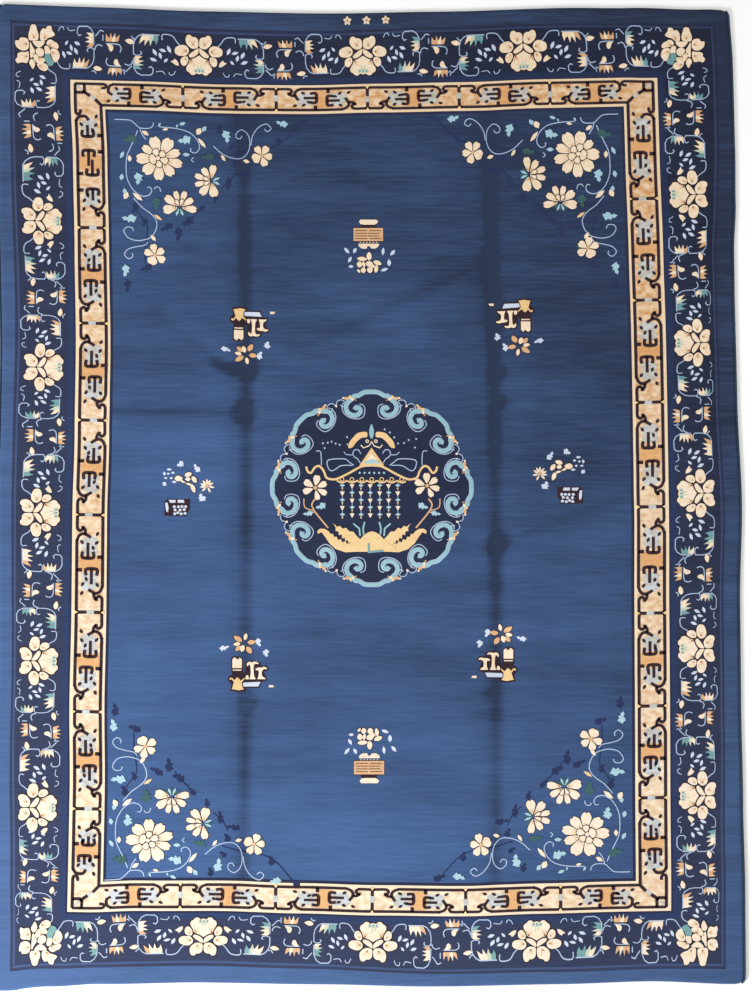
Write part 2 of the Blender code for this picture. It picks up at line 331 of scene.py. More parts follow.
yarn = {
    "cream": woolFinish("creamWool", "#D3B58E", "#EEE3D2", (-0.03, -0.09), 0.54, 0.9, 0.3, 0.4),
    "tan": woolFinish("camelWool", "#B8895E", "#DEB892", (-0.03, -0.08), 0.5, 0.9),
    "brown": woolFinish("walnutBrownWool", "#231820", "#3E2A30", (0, -0.05), 0.4, 0.8),
    "vine": woolFinish("paleBlueWool", "#8195B4", "#C0CFE4", (-0.05, -0.08), 0.5, 0.9),
    "sky": woolFinish("skyBlueWool", "#7FA6B6", "#B4D0D8", (-0.05, -0.08), 0.5, 0.9),
    "teal": woolFinish("tealWool", "#4A7880", "#84AAA8", (-0.04, -0.08), 0.5, 0.9),
    "sage": woolFinish("sageWool", "#A3AE9C", "#CCD2BE", (-0.04, -0.08), 0.5, 0.9),
    "moss": woolFinish("mossGreyWool", "#274444", "#46686A", (-0.04, -0.08), 0.5, 0.9),
    "shadow": woolFinish("midnightWool", "#1D2440", "#2C3860", (0, 0), 0.5, 0.7),
    "cloud": woolFinish("cloudBlueWool", "#6796A2", "#A2C6CA", (-0.05, -0.08), 0.5, 0.9),
    "navy": woolFinish("midnightGroundWool", "#151A2C", "#2C3450", (-0.05, -0.08), 0.45, 0.8),
    "pale": woolFinish("paleGreyBlueWool", "#A39478", "#C3CBD2", (-0.04, -0.08), 0.55, 0.9, 0.3, 0.7, 17),
    "mist": woolFinish("mistBlueWool", "#A2AFC6", "#D8DDE8", (-0.04, -0.08), 0.5, 0.9),
    "peach": woolFinish("peachGoldWool", "#B9834E", "#E2B482", (-0.03, -0.08), 0.5, 0.9, 0.3, 0.4),
    "gold": woolFinish("goldWool", "#CC9E60", "#EBD4A6", (-0.03, -0.08), 0.5, 0.9, 0.3, 0.15),
    "overcast": woolFinish("overcastWool", "#1C2A38", "#34485C", (0, 0), 0.5),
}
print("wool finishes made")


# The pile: half width and half length of each band, from the field out, and its ground
bands = (
    (0.955, 1.424, "field"), (0.966, 1.435, "edge"), (0.977, 1.446, "cream"), (1.081, 1.534, "gold"),
    (1.094, 1.544, "cream"), (1.101, 1.551, "edge"), (1.122, 1.572, "inner"), (1.299, 1.728, "navy"),
    (1.306, 1.735, "guard"), (1.316, 1.745, "line"), (9, 9, "outer"),
)
pileMesh = {"step": 0.018, "lastBandIn": 0.03, "rimLinesIn": (0.016, rug["rimWidth"], 0.004, 0.001)}


def pileLines(half, edges):  # even lines that also run along each band's edge, and closer ones at the rim
    stops = [0, *[edge for edge in edges if edge < half - pileMesh["lastBandIn"]],
             half - rug["cornerRadius"]]
    lines = []
    for low, high in zip(stops, stops[1:]):
        count = max(1, math.ceil((high - low) / pileMesh["step"]))
        lines += [low + (high - low) * step / count for step in range(count)]
    lines += [stops[-1], *[half - inset for inset in pileMesh["rimLinesIn"]], half]
    return [-place for place in reversed(lines[1:])] + lines


def roundCorner(u, v):  # turns the square of mesh at each corner into a quarter disc
    corner = rug["cornerRadius"]
    pastSide = np.maximum(abs(u) - (rug["halfWidth"] - corner), 0)
    pastEnd = np.maximum(abs(v) - (rug["halfLength"] - corner), 0)
    both = (pastSide > 0) & (pastEnd > 0)
    longer = np.maximum(pastSide, pastEnd)
    shrink = np.where(both, longer / np.maximum(np.hypot(pastSide, pastEnd), 1e-9), 1)
    u = np.where(both, np.sign(u) * (rug["halfWidth"] - corner + pastSide * shrink), u)
    v = np.where(both, np.sign(v) * (rug["halfLength"] - corner + pastEnd * shrink), v)
    return u, v


def bandOf(u, v):  # the number of the band that a place lies in
    for number, (halfU, halfV, _) in enumerate(bands):
        if abs(u) < halfU and abs(v) < halfV:
            return number


def knottedPile():
    columns = pileLines(rug["halfWidth"], [band[0] for band in bands])
    rows = pileLines(rug["halfLength"], [band[1] for band in bands])
    cloth = bmesh.new()
    bmesh.ops.create_grid(cloth, x_segments=len(columns) - 1, y_segments=len(rows) - 1, size=1.0)
    for vert in cloth.verts:
        column = round((vert.co.x + 1) / 2 * (len(columns) - 1))
        row = round((vert.co.y + 1) / 2 * (len(rows) - 1))
        inset = min(rug["halfWidth"] - abs(columns[column]), rug["halfLength"] - abs(rows[row]))
        rim = max(0, 1 - inset / rug["rimWidth"])
        vert.co = (columns[column], rows[row], -rug["rimDrop"] * rim ** rug["rimCurve"])
    for face in cloth.faces:
        spot = face.calc_center_median()
        face.material_index = bandOf(spot.x, spot.y)
        face.smooth = True
    under = bmesh.ops.duplicate(cloth, geom=cloth.verts[:] + cloth.edges[:] + cloth.faces[:])["geom"]
    bmesh.ops.reverse_faces(cloth, faces=[item for item in under if isinstance(item, bmesh.types.BMFace)])
    for item in under:
        if isinstance(item, bmesh.types.BMVert):
            item.co.z = -1  # pressOn lays these on the floor
    bmesh.ops.bridge_loops(cloth, edges=[edge for edge in cloth.edges if edge.is_boundary])
    bmesh.ops.recalc_face_normals(cloth, faces=cloth.faces)
    mesh = bpy.data.meshes.new("rugPile")
    cloth.to_mesh(mesh)
    cloth.free()
    pressOn(mesh, wholeBody=True)
    return addPiece("rugPile", mesh, [grounds[band[2]] for band in bands])


pile = knottedPile()
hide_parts("rug_pile")
print("pile made:", len(pile.data.polygons), "faces")


# Overcast sides
overcast = {
    "cordRadius": 4.2 * mm, "gap": 0.3 * mm, "endAngle": math.radians(50), "endSteps": 10,
    "wrapPitch": 5 * mm, "wrapDepth": 0.10, "bevelResolution": 1,
}


def overcastSide(name, side):
    out = overcast["gap"] + overcast["cordRadius"]
    reach = rug["cornerRadius"] + out
    straightEnd = rug["halfLength"] - rug["cornerRadius"]
    steps = 2 * round(2 * straightEnd / overcast["wrapPitch"])
    endSteps = overcast["endSteps"]
    turns = [overcast["endAngle"] * step / endSteps for step in range(1, endSteps + 1)]
    cornerU = rug["halfWidth"] - rug["cornerRadius"]
    ending = [(cornerU + reach * math.cos(angle), straightEnd + reach * math.sin(angle)) for angle in turns]
    path = [(u, -v) for u, v in reversed(ending)]
    path += [(rug["halfWidth"] + out, straightEnd * (2 * step / steps - 1)) for step in range(steps + 1)]
    path += ending
    places = np.array(path)
    x, y = onFloor(side * places[:, 0], places[:, 1])
    curve = bpy.data.curves.new(name, "CURVE")
    curve.dimensions = "3D"
    curve.bevel_depth = overcast["cordRadius"]
    curve.bevel_resolution = overcast["bevelResolution"]
    curve.use_fill_caps = True
    spline = curve.splines.new("POLY")
    spline.points.add(len(path) - 1)
    for number, point in enumerate(spline.points):
        point.co = (x[number] - middle[0], y[number] - middle[1], overcast["cordRadius"], 1)
        point.radius = 1 - overcast["wrapDepth"] * (number % 2)
    cord = bpy.data.objects.new(name, curve)
    mesh = bpy.data.meshes.new_from_object(cord)
    bpy.data.objects.remove(cord)
    mesh.name = name
    mesh.shade_smooth()
    return addPiece(name, mesh, yarn["overcast"])


leftSide = overcastSide("overcastLeft", -1)
rightSide = overcastSide("overcastRight", 1)
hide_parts("selvedge_left")
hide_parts("selvedge_right")
print("overcast sides made")


# Drawing in yarn: outlines are complex numbers in mm, laid in rug metres
beds = {}  # each design piece's flat faces, by name


def bedOf(piece):
    if piece not in beds:
        beds[piece] = bmesh.new()
    return beds[piece]


def smooth(points, steps=4, closed=True):  # a soft curve through the points
    ends = points if closed else [points[0], *points, points[-1]]
    count = len(points) if closed else len(points) - 1
    curve = []
    for index in range(count):
        first = index - 1 if closed else index
        before, start, end, after = (ends[(first + ahead) % len(ends)] for ahead in range(4))
        for step in range(steps):
            t = step / steps
            curve.append((2 * start + (end - before) * t
                          + (2 * before - 5 * start + 4 * end - after) * t * t
                          + (3 * start - before - 3 * end + after) * t ** 3) / 2)
    return curve if closed else curve + [points[-1]]


def dots(*pairs):
    return [complex(*pair) for pair in pairs]


def toward(degrees, reach=1):
    return cmath.rect(reach, math.radians(degrees))


def turned(shape, degrees, size=1.0, to=0):
    swing = toward(degrees, size)
    return [to + swing * point for point in shape]


def disc(radius, step, centre=0, end=360):
    return [centre + toward(degrees, radius) for degrees in range(0, end, step)]


def asDrawn(shape):
    return shape


def flipped(shape):
    return [-point.conjugate() for point in shape]


mirrors = (asDrawn, flipped)


def bothHalves(*pairs):  # a whole outline from its half on one side of the middle line
    half = dots(*pairs)
    return half + [point for point in flipped(half[::-1]) if point.real]


def placeAt(u, v, along=1, up=1j):  # local mm to rug metres
    return lambda shape: [complex(u, v) + (along * point.real + up * point.imag) * mm for point in shape]


def anticlockwise(outline):
    area = sum((a.conjugate() * b).imag for a, b in zip(outline, outline[1:] + outline[:1]))
    return outline if area > 0 else outline[::-1]


def lay(piece, outline, lift=1.2):  # one flat face, lift mm over the pile
    bed = bedOf(piece)
    verts = [bed.verts.new((point.real, point.imag, lift * mm)) for point in anticlockwise(outline)]
    bed.faces.new(verts)


# A stroke's two sides: where it turns back it isn't mitred, and a sharp corner spreads only so far
mitre = {"turnsBack": 0.3, "leastLean": 0.5, "mostSpread": 1.6}


def ribbonSides(points, width):
    sides = []
    for index, point in enumerate(points):
        before = points[max(index - 1, 0)]
        after = points[min(index + 1, len(points) - 1)]
        inward = point - before
        onward = after - point
        if index == 0:
            inward = onward
        if index == len(points) - 1:
            onward = inward
        inward, onward = inward / abs(inward), onward / abs(onward)
        bisector = inward + onward
        if abs(bisector) < mitre["turnsBack"]:
            bisector = inward * 1j
        normal = 1j * bisector / abs(bisector)
        lean = max(abs((normal * inward.conjugate()).imag), mitre["leastLean"])
        spread = min(1 / lean, mitre["mostSpread"])
        sides.append((point + normal * width / 2 * spread, point - normal * width / 2 * spread))
    return sides


def ribbon(piece, put, points, width, lift=1.2):  # a stroke of even width
    bed = bedOf(piece)
    pairs = []
    for left, right in ribbonSides(points, width):
        pair = put([right, left])
        pairs.append([bed.verts.new((point.real, point.imag, lift * mm)) for point in pair])
    mirrored = None
    for (rightLow, leftLow), (rightHigh, leftHigh) in zip(pairs, pairs[1:]):
        corners = [rightLow, rightHigh, leftHigh, leftLow]
        if mirrored is None:
            ring = [complex(vert.co.x, vert.co.y) for vert in corners]
            mirrored = anticlockwise(ring) is not ring
        bed.faces.new(corners[::-1] if mirrored else corners)


def stroke(piece, put, points, width, lift=1.2, steps=3):  # a ribbon along a soft open curve
    ribbon(piece, put, smooth(points, steps, False), width, lift)


def strew(piece, put, outline, rows, lift=1.2):  # rows: across, along, degrees, length, width
    for across, along, degrees, length, width in rows:
        lay(piece, put(turned(outline(length, width), degrees, 1, complex(across, along))), lift)


def grown(shape, by):  # the outline moved outwards
    shape = anticlockwise(shape)
    out = []
    for index, point in enumerate(shape):
        run = shape[(index + 1) % len(shape)] - shape[index - 1]
        out.append(point - 1j * run / max(abs(run), 1e-9) * by)
    return out


knots = {"longestEdge": 0.026, "sink": 2.2 * mm, "clipIn": 0.9 * mm, "clipUp": 0.5 * mm, "rounds": 3}


def splitFaces(bed):  # no face keeps more than four sides
    bed.normal_update()  # triangulate reads each face's normal
    bmesh.ops.triangulate(bed, faces=[face for face in bed.faces if len(face.verts) > 4])


def knotIn(name, material, clipped=False):  # makes a bed a thin closed body, with a stepped edge if clipped
    bed = beds.pop(name)
    splitFaces(bed)
    for _ in range(knots["rounds"]):  # short edges, so that the body follows the folds
        longEdges = [edge for edge in bed.edges if edge.calc_length() > knots["longestEdge"]]
        if not longEdges:
            break
        bmesh.ops.subdivide_edges(bed, edges=longEdges, cuts=1)
        splitFaces(bed)
    bmesh.ops.recalc_face_normals(bed, faces=bed.faces)
    for face in bed.faces:
        if face.normal.z < 0:
            face.normal_flip()
    bmesh.ops.solidify(bed, geom=bed.faces[:], thickness=knots["sink"])
    if clipped:
        tops = [face for face in bed.faces if face.normal.z > 0.9]
        bmesh.ops.inset_region(bed, faces=tops, thickness=knots["clipIn"], depth=knots["clipUp"],
                               use_even_offset=False)
    for face in bed.faces:
        face.smooth = False
    mesh = bpy.data.meshes.new(name)
    bed.to_mesh(mesh)
    bed.free()
    pressOn(mesh)
    addPiece(name, mesh, material)
    mesh.calc_loop_triangles()
    print(name, len(mesh.loop_triangles), "triangles")


# Border: peonies on a dark ground, with cut vines between them
peony = {
    "outerPetal": dots((3, 29), (1.5, 43), (4, 56), (13, 63), (24, 64), (32, 70), (43, 68), (48, 58),
                       (48, 45), (41, 33), (27, 23), (14, 23)),
    "sidePetal": dots((37, 12), (40, 24), (50, 32), (62, 33), (75, 29), (85, 23), (89, 12), (86, 2),
                      (76, -4), (64, -5), (50, -4), (42, 3)),
    "crescent": dots((2, 24), (12, 19), (24, 11), (37, -1), (33, -9), (20, -7), (8, 1), (2, 10)),
    "smallPetal": dots((42, -8), (55, -7), (66, -15), (68, -29), (63, -38), (54, -41), (46, -34), (40, -22)),
    "cup": bothHalves((0, -1), (8, -6), (21, -13), (34, -18), (38, -30), (44, -40), (48, -50), (45, -60),
                      (37, -65), (29, -73), (18, -73), (11, -67), (0, -70)),
    "cupShade": dots((-19, -66), (-17, -50), (-10, -57), (-6, -36), (0, -52), (6, -34), (9, -56), (17, -48),
                     (19, -65), (9, -62), (0, -66), (-9, -62)),
    "bud": dots((75, -41), (78, -27), (90, -17), (93, -23), (103, -27), (96, -32), (88, -38)),
    "rim": 3.4, "crescentRim": 2.4, "cupDrops": (-12, 0, 12), "dropAt": -59,
    # Shade at each petal's base. Columns: base across and along, tip across and along, reach, spread
    "shades": ((20, 30, 26, 60, 26, 22), (42, 12, 75, 12, 28, 24), (48, -12, 56, -36, 18, 24),
               (30, -14, 26, -60, 30, 20)),
}

# The corner peony, with the rug's outer corner up and to the left
cornerPeony = {
    "petals": (
        dots((-33, 32), (-35, 50), (-30, 66), (-26, 80), (-16, 84), (-7, 80), (-3, 66), (2, 50), (0, 34),
             (-15, 30)),
        dots((10, 32), (8, 50), (12, 64), (20, 72), (30, 70), (36, 79), (50, 80), (54, 66), (64, 52),
             (52, 44), (38, 40), (26, 31)),
        dots((32, 22), (38, 32), (50, 35), (60, 29), (70, 25), (78, 14), (74, 5), (64, 7), (52, 9),
             (40, 13)),
        dots((-36, 30), (-46, 38), (-62, 38), (-68, 29), (-80, 28), (-80, 15), (-72, 3), (-58, -4),
             (-44, -3), (-34, 8)),
        dots((-36, -8), (-34, -30), (-42, -48), (-58, -46), (-72, -50), (-80, -38), (-73, -28), (-72, -16),
             (-60, -10), (-46, -10)),
        dots((-26, -34), (-33, -46), (-27, -60), (-20, -70), (-13, -60), (-11, -48), (-17, -36)),
        dots((-8, 0), (2, 6), (14, 4), (22, -4), (22, -16), (12, -24), (0, -20), (-8, -10)),
        dots((24, 8), (32, 14), (42, 8), (46, -6), (42, -20), (34, -26), (28, -16)),
        dots((48, 2), (58, 6), (70, 3), (79, -8), (81, -24), (72, -38), (61, -42), (54, -30), (48, -14)),
        dots((-20, -16), (-8, -16), (8, -27), (24, -30), (24, -42), (10, -49), (-6, -45), (-16, -32)),
        dots((-4, -51), (10, -47), (28, -49), (38, -60), (33, -72), (20, -76), (4, -67)),
    ),
    "crescents": (dots((-20, 28), (0, 29), (25, 28), (18, 15), (4, 7), (-10, 13)),
                  dots((-29, 26), (-20, 10), (-12, -2), (-15, -18), (-27, -30), (-30, 0))),
    "middle": dots((24, -22), (32, -14), (44, -16), (50, -30), (60, -42), (54, -54), (40, -56), (32, -46),
                   (26, -36)),
    "rim": 3.2, "crescentRim": 2.4,
    "shades": ((-15, 34, -15, 70), (24, 34, 40, 70), (38, 14, 66, 22), (-38, 16, -70, 20),
               (-38, -24, -70, -36), (52, -4, 68, -26), (0, -24, 14, -42), (2, -56, 26, -64)),
}

# Half of the stretch between two peonies, mm along from the peony and mm out from its middle
vine = {
    "width": 3.4, "hookWidth": 2.8,
    "curl": dots((64, 31), (76, 45), (84, 58), (96, 65), (116, 66), (123, 60), (122, 46)),
    "hooks": (dots((80, -63), (87, -76), (98, -78), (101, -68)), dots((115, -77), (123, -66), (144, -69))),
    "outerBracket": dots((131, 62), (188, 62), (202, 55), (213, 40), (217, 22), (217, -6), (208, -11),
                         (196, -10), (190, -3), (194, 4)),
    "innerBracket": dots((168, -54), (160, -50), (153, -58), (154, -74), (162, -82), (192, -83), (206, -75),
                         (216, -58), (217, -20)),
    "leaves": ((100, 15, 65, 28, 12), (121, 10, 15, 25, 11), (129, -9, 75, 24, 11), (147, 2, 60, 27, 12),
               (152, -24, 20, 26, 12), (111, -25, 130, 20, 9)),
    "twig": dots((223, -50), (235, -62), (243, -70), (256, -66)),
}

# The half-open bud on each bracket, teeth up, straight side on the line
tulip = {
    "petals": (dots((-26, 0), (-29, 12), (-30, 31), (-18, 18), (-13, 17), (-12.5, 0)),
               dots((-13, 0), (-13.5, 17), (-10, 37), (-3, 18), (0.5, 17), (0.5, 0)),
               dots((-0.5, 0), (0, 17), (9, 38), (11, 18), (13.5, 17), (13, 0)),
               dots((12.5, 0), (13, 17), (20, 20), (28, 33), (29, 12), (26, 0))),
    "foot": dots((-28, -2.5), (-29, 10), (29, 10), (28, -2.5)),
}

# Half of what joins two brackets, mm from the point that it turns about
link = {
    "stem": dots((36, 55), (36, 36)),
    "bend": dots((-22, -3), (-26, 8), (-24, 18), (-13, 25), (26, 26)),
    "hook": dots((38, 17), (52, 22), (62, 14), (64, 4)),
    "leaf": dots((2, 6), (1, 18), (10, 24), (22, 24), (17, 14), (14, 4), (8, 0)),
    "bud": dots((-14, 0), (-5, 8), (5, 8), (16, 1), (6, -7), (-6, -8)),
    "tendril": dots((-76, 48), (-68, 45), (-61, 55)),
}


def kite(length, width):
    return dots((-length / 2, 0), (-length * 0.1, width * 0.5), (length * 0.22, width * 0.4),
                (length / 2, 0), (length * 0.12, -width * 0.5), (-length * 0.22, -width * 0.4))


def leafShape(length, width):  # pointed both ends, lying along x
    return smooth(dots((-length / 2, 0), (-length * 0.2, width * 0.5), (length * 0.2, width * 0.45),
                       (length / 2, 0), (length * 0.15, -width * 0.5), (-length * 0.25, -width * 0.42)), 3)


def petal(region, put, shape, rim):
    lay(region + "Brown", put(grown(smooth(shape), rim)), 0.5)
    lay(region + "Cream", put(smooth(shape)))


shading = {"middleShort": 0.25, "rootOut": 0.12, "halfWidth": 0.085, "lift": 2.1}  # shares of a dart's reach


def shadeFan(region, put, base, tip, reach, spread):  # three darts of shade from a petal's base
    way = (tip - base) / abs(tip - base)
    for number in range(3):
        swing = (number - 1) * spread
        point = base + way * toward(swing, reach * (1 - shading["middleShort"] * (number % 2)))
        root = base + way * toward(swing, reach * shading["rootOut"])
        across = 1j * way * reach * shading["halfWidth"]
        lay(region + "Tan", put([root - across, point, root + across]), shading["lift"])


def borderPeony(put):
    for name, rim in (("outerPetal", "rim"), ("sidePetal", "rim"), ("smallPetal", "rim"),
                      ("crescent", "crescentRim")):
        for mirror in mirrors:
            petal("border", put, mirror(peony[name]), peony[rim])
    cup = smooth(peony["cup"], 3)
    lay("borderBrown", put(grown(cup, peony["rim"])), 0.5)
    lay("borderCream", put(cup))
    lay("borderSage", put(smooth(peony["cupShade"])), 2.1)
    for across in peony["cupDrops"]:
        lay("borderTeal", put(turned(kite(13, 6), 90, 1, complex(across, peony["dropAt"]))), 2.6)
    for side in (1, -1):
        for baseX, baseY, tipX, tipY, reach, spread in peony["shades"]:
            shadeFan("border", put, complex(side * baseX, baseY), complex(side * tipX, tipY), reach, spread)


def peonyBuds(put):
    for mirror in mirrors:
        lay("borderCream", put(smooth(mirror(peony["bud"]), 3)))


def borderCorner(put):
    for shape in cornerPeony["petals"]:
        petal("border", put, shape, cornerPeony["rim"])
    for shape in cornerPeony["crescents"]:
        petal("border", put, shape, cornerPeony["crescentRim"])
    lay("borderTeal", put(smooth(cornerPeony["middle"])), 2.5)
    for baseX, baseY, tipX, tipY in cornerPeony["shades"]:
        shadeFan("border", put, complex(baseX, baseY), complex(tipX, tipY), 24, 22)


def tulipOn(put, at, degrees, colours, size=1.0, lean=0):
    for shape, colour in zip(tulip["petals"], colours):
        leaning = [point + lean * point.imag for point in shape]
        lay("border" + colour, put(turned(leaning, degrees, size, at)), 1.3)
    lay("borderBrown", put(turned(tulip["foot"], degrees, size, at)), 0.5)


def borderHalf(put, colours):
    stroke("borderVine", put, vine["curl"], vine["width"])
    for hook in vine["hooks"]:
        stroke("borderVine", put, hook, vine["hookWidth"])
    ribbon("borderVine", put, vine["outerBracket"], vine["width"])
    ribbon("borderVine", put, vine["innerBracket"], vine["width"])
    stroke("borderVine", put, vine["twig"], vine["width"])
    strew("borderPale", put, kite, vine["leaves"])
    tulipOn(put, 161 + 60j, 180, colours[::-1], lean=-0.25)
    tulipOn(put, 214 - 37j, 90, colours, size=0.82)


def borderMiddle(put):  # one half: the other is the same, turned half round
    tulipOn(put, 5 + 33j, 0, ("Tan", "Cream", "Tan", "Tan"), size=0.8, lean=-0.1)
    ribbon("borderVine", put, link["stem"], vine["width"])
    stroke("borderVine", put, link["bend"], vine["width"])
    stroke("borderVine", put, link["hook"], vine["width"])
    lay("borderCream", put(smooth(link["leaf"], 3)))
    petal("border", put, turned(link["bud"], 8, 1, -56 + 36j), 2.2)
    stroke("borderVine", put, link["tendril"], vine["width"])


# Each side's way along, seen from the field, its way out, and the way that its places count
sideWays = {"top": (1, 1j, 1), "right": (-1j, 1, 1j), "bottom": (-1, -1j, 1), "left": (1j, -1, 1j)}

# Peonies along each side. Columns: how far out, places along from corner to corner
peonyRows = {
    "top": (1.651, (-1.214, -0.621, -0.007, 0.595, 1.192)),
    "bottom": (1.641, (-1.190, -0.600, 0.017, 0.612, 1.193)),
    "left": (1.213, (-1.650, -1.164, -0.629, -0.084, 0.456, 1.005, 1.650)),
    "right": (1.199, (-1.651, -1.120, -0.584, -0.012, 0.548, 1.105, 1.649)),
}
cornerPeonies = ((-1.214, 1.650), (1.192, 1.649), (1.193, -1.651), (-1.190, -1.650))
bracketColours = (("Teal", "Sage", "Cream", "Cream"), ("Cream", "Cream", "Cream", "Tan"),
                  ("Teal", "Teal", "Sage", "Cream"))


def onSide(side, out, place):  # rug metres of a place along one side
    return {"top": (place, out), "bottom": (place, -out), "left": (-out, place), "right": (out, place)}[side]


garland = {
    "outHalf": 217 * mm, "inHalf": 193 * mm,  # from a peony whose vine curls outside, and inside
    "evenGap": 0.545, "mostLong": 1.115,  # metres between peonies as drawn, and the most they are drawn out
    "middleGap": 0.135, "mostWide": 1.12,
    "turnIn": 26 * mm,  # the middle turns about a point inside its line
}


def fillBorder():
    outHalf, inHalf = garland["outHalf"], garland["inHalf"]
    for number, (side, (out, places)) in enumerate(peonyRows.items()):
        along, up, count = sideWays[side]
        for index, place in enumerate(places[1:-1]):
            put = placeAt(*onSide(side, out, place), along, up)
            borderPeony(put)
            if index % 2 == 0:
                peonyBuds(put)
        for index, (low, high) in enumerate(zip(places, places[1:])):
            step = min((high - low) / garland["evenGap"], garland["mostLong"])
            outLow = index % 2 == 1  # from an outward peony, whose vine curls outside
            for start, onward, isOut in ((low, 1, outLow), (high, -1, not outLow)):
                flip = 1 if isOut else -1
                shrink = step * (1 if isOut else inHalf / outHalf)
                run = count * onward * shrink
                put = placeAt(*onSide(side, out, start), run, up * flip)
                borderHalf(put, bracketColours[(index + number + (onward > 0)) % 3])
            lowEnd = low + step * (outHalf if outLow else inHalf)
            highEnd = high - step * (inHalf if outLow else outHalf)
            centre = (lowEnd + highEnd) / 2
            run = count * (1 if outLow else -1)
            spread = min((highEnd - lowEnd) / garland["middleGap"], garland["mostWide"])
            borderMiddle(placeAt(*onSide(side, out, centre), run * spread, up))
            borderMiddle(placeAt(*onSide(side, out - garland["turnIn"], centre), -run * spread, -up))
    for u, v in cornerPeonies:
        borderCorner(placeAt(u, v, -math.copysign(1, u), math.copysign(1, v) * 1j))


fillBorder()
knotIn("borderBrown", yarn["brown"])
knotIn("borderCream", yarn["cream"], clipped=True)
knotIn("borderTan", yarn["tan"])
knotIn("borderSage", yarn["sage"])
knotIn("borderTeal", yarn["teal"])
knotIn("borderVine", yarn["vine"])
knotIn("borderPale", yarn["mist"])

# Gold border, with brown hooked frets. Line middles either side of the gold are in rug metres, and the
# fret's shapes in mm: along from a crossbar, and in from the line that carries its hooks
fret = {
    "innerU": 0.981, "outerU": 1.0765, "innerV": 1.4495, "outerV": 1.5300, "cornerIn": 54,
    "gap": 95.5, "line": 11.5, "stroke": 12, "thin": 11, "lift": 0.9,
    "lineFrom": 93, "cornerLineFrom": 84, "cornerLineTo": 52,
    "evenReach": 181, "mostShift": 8,  # the bar moves on in a longer panel, up to this far
    "wideFrom": 215, "wideBarAt": 146, "secondBarAt": 200, "widest": 214,
    "hooks": (dots((0, 2), (40, 1), (53, 3), (59, 12), (53, 21), (42, 21)),
              dots((46, 22), (56, 30), (71, 32)), dots((84, 52), (74, 36), (70, 22), (78, 8), (96, 0))),
    "cornerHooks": (dots((50, 0), (59, 2), (62, 11), (54, 18), (44, 17)),
                    dots((88, 0), (75, 8), (70, 22), (72, 38), (86, 47))),
    "crossNear": bothHalves((-12, -4), (-6, 8), (-5.5, 30)),
    "crossFar": bothHalves((-12, 99), (-6, 87), (-5.5, 57)),
    "crossPale": bothHalves((-6, 28), (-8, 44), (-6, 59)),
    "stemFrom": 103, "barAt": 161, "height": 41,
    "bar": dots((-24, -19), (-9, -22), (0, -16), (0, 16), (-9, 22), (-24, 19)),
    "block": (13, 20), "blockOff": 4, "longestStem": 58, "peach": (26, 8), "peachPoint": 6,
    "pale": dots((82, 40), (78, 58), (88, 74), (104, 80), (122, 72), (136, 78), (150, 68), (152, 48),
                 (148, 26), (134, 16), (118, 22), (104, 12), (90, 18)),
    "leaves": ((101, 19, 40, 20, 12), (103, 73, -40, 20, 12), (122, 60, 20, 20, 12), (70, 76, -30, 20, 12)),
    "tipNear": dots((-8, -7), (0, 6), (8, -7)), "tipFar": dots((-8, 102), (0, 89), (8, 102)),
}


def fretHalf(put, reach, corner=None):  # from a crossbar or corner to the middle of the next panel
    gap = fret["gap"]
    for hook in fret["cornerHooks"] if corner else fret["hooks"]:
        stroke("fretBrown", put, hook, fret["thin"], fret["lift"])
    fretLine(put, fret["cornerLineFrom"] if corner else fret["lineFrom"], reach, 0)
    if corner:
        fretLine(put, -fret["cornerIn"], fret["cornerLineTo"], 0)
    fretLine(put, corner or 0, reach, gap)
    barAt = fret["barAt"] + min(reach - fret["evenReach"], fret["mostShift"])
    if reach > fret["wideFrom"]:
        barAt = fret["wideBarAt"]
        fretStem(put, fret["secondBarAt"], -1)
    fretStem(put, barAt, 1)
    strew("fretBrown", put, kite, fret["leaves"], fret["lift"])
    lay("fretPale", put(smooth(fret["pale"], 3)), 0.35)
    wide, clear = fret["peach"]
    start = reach - wide
    lay("fretPeach", put(dots((start, clear), (start - fret["peachPoint"], gap / 2), (start, gap - clear),
                              (reach, gap - clear), (reach, clear))), 0.4)


def fretLine(put, start, end, out):
    ribbon("fretBrown", put, [complex(start, out), complex(end, out)], fret["line"], fret["lift"])


def fretStem(put, barAt, facing):
    middle = barAt + 1j * fret["height"]
    length = min(barAt - fret["stemFrom"], fret["longestStem"])
    ribbon("fretBrown", put, [middle - facing * length, middle], fret["thin"], fret["lift"])
    bar = [middle + complex(point.real * facing, point.imag) for point in fret["bar"]]
    stroke("fretBrown", put, bar, fret["stroke"], fret["lift"])
    wide, tall = fret["block"]
    blockAt = barAt - fret["blockOff"] * facing
    ribbon("fretBrown", put, [complex(blockAt, fret["gap"]), complex(blockAt, fret["gap"] - tall)],
           wide, fret["lift"])


def crossbar(put):
    lay("fretBrown", put(fret["crossNear"]), fret["lift"])
    lay("fretBrown", put(fret["crossFar"]), fret["lift"])
    lay("fretPale", put(smooth(fret["crossPale"], 3)), 0.8)
    lay("fretGold", put(fret["tipNear"]), 1.3)
    lay("fretGold", put(fret["tipFar"]), 1.3)


# Crossbars along each side: the first one's hooks are on the field's side, the next one's outside
crossbars = {
    "top": (-0.683, -0.335, 0.007, 0.350, 0.690), "bottom": (-0.687, -0.340, 0.012, 0.352, 0.697),
    "left": (-1.165, -0.811, -0.447, -0.088, 0.263, 0.625, 0.984),
    "right": (-1.124, -0.790, -0.450, -0.058, 0.330, 0.712, 1.094),
}


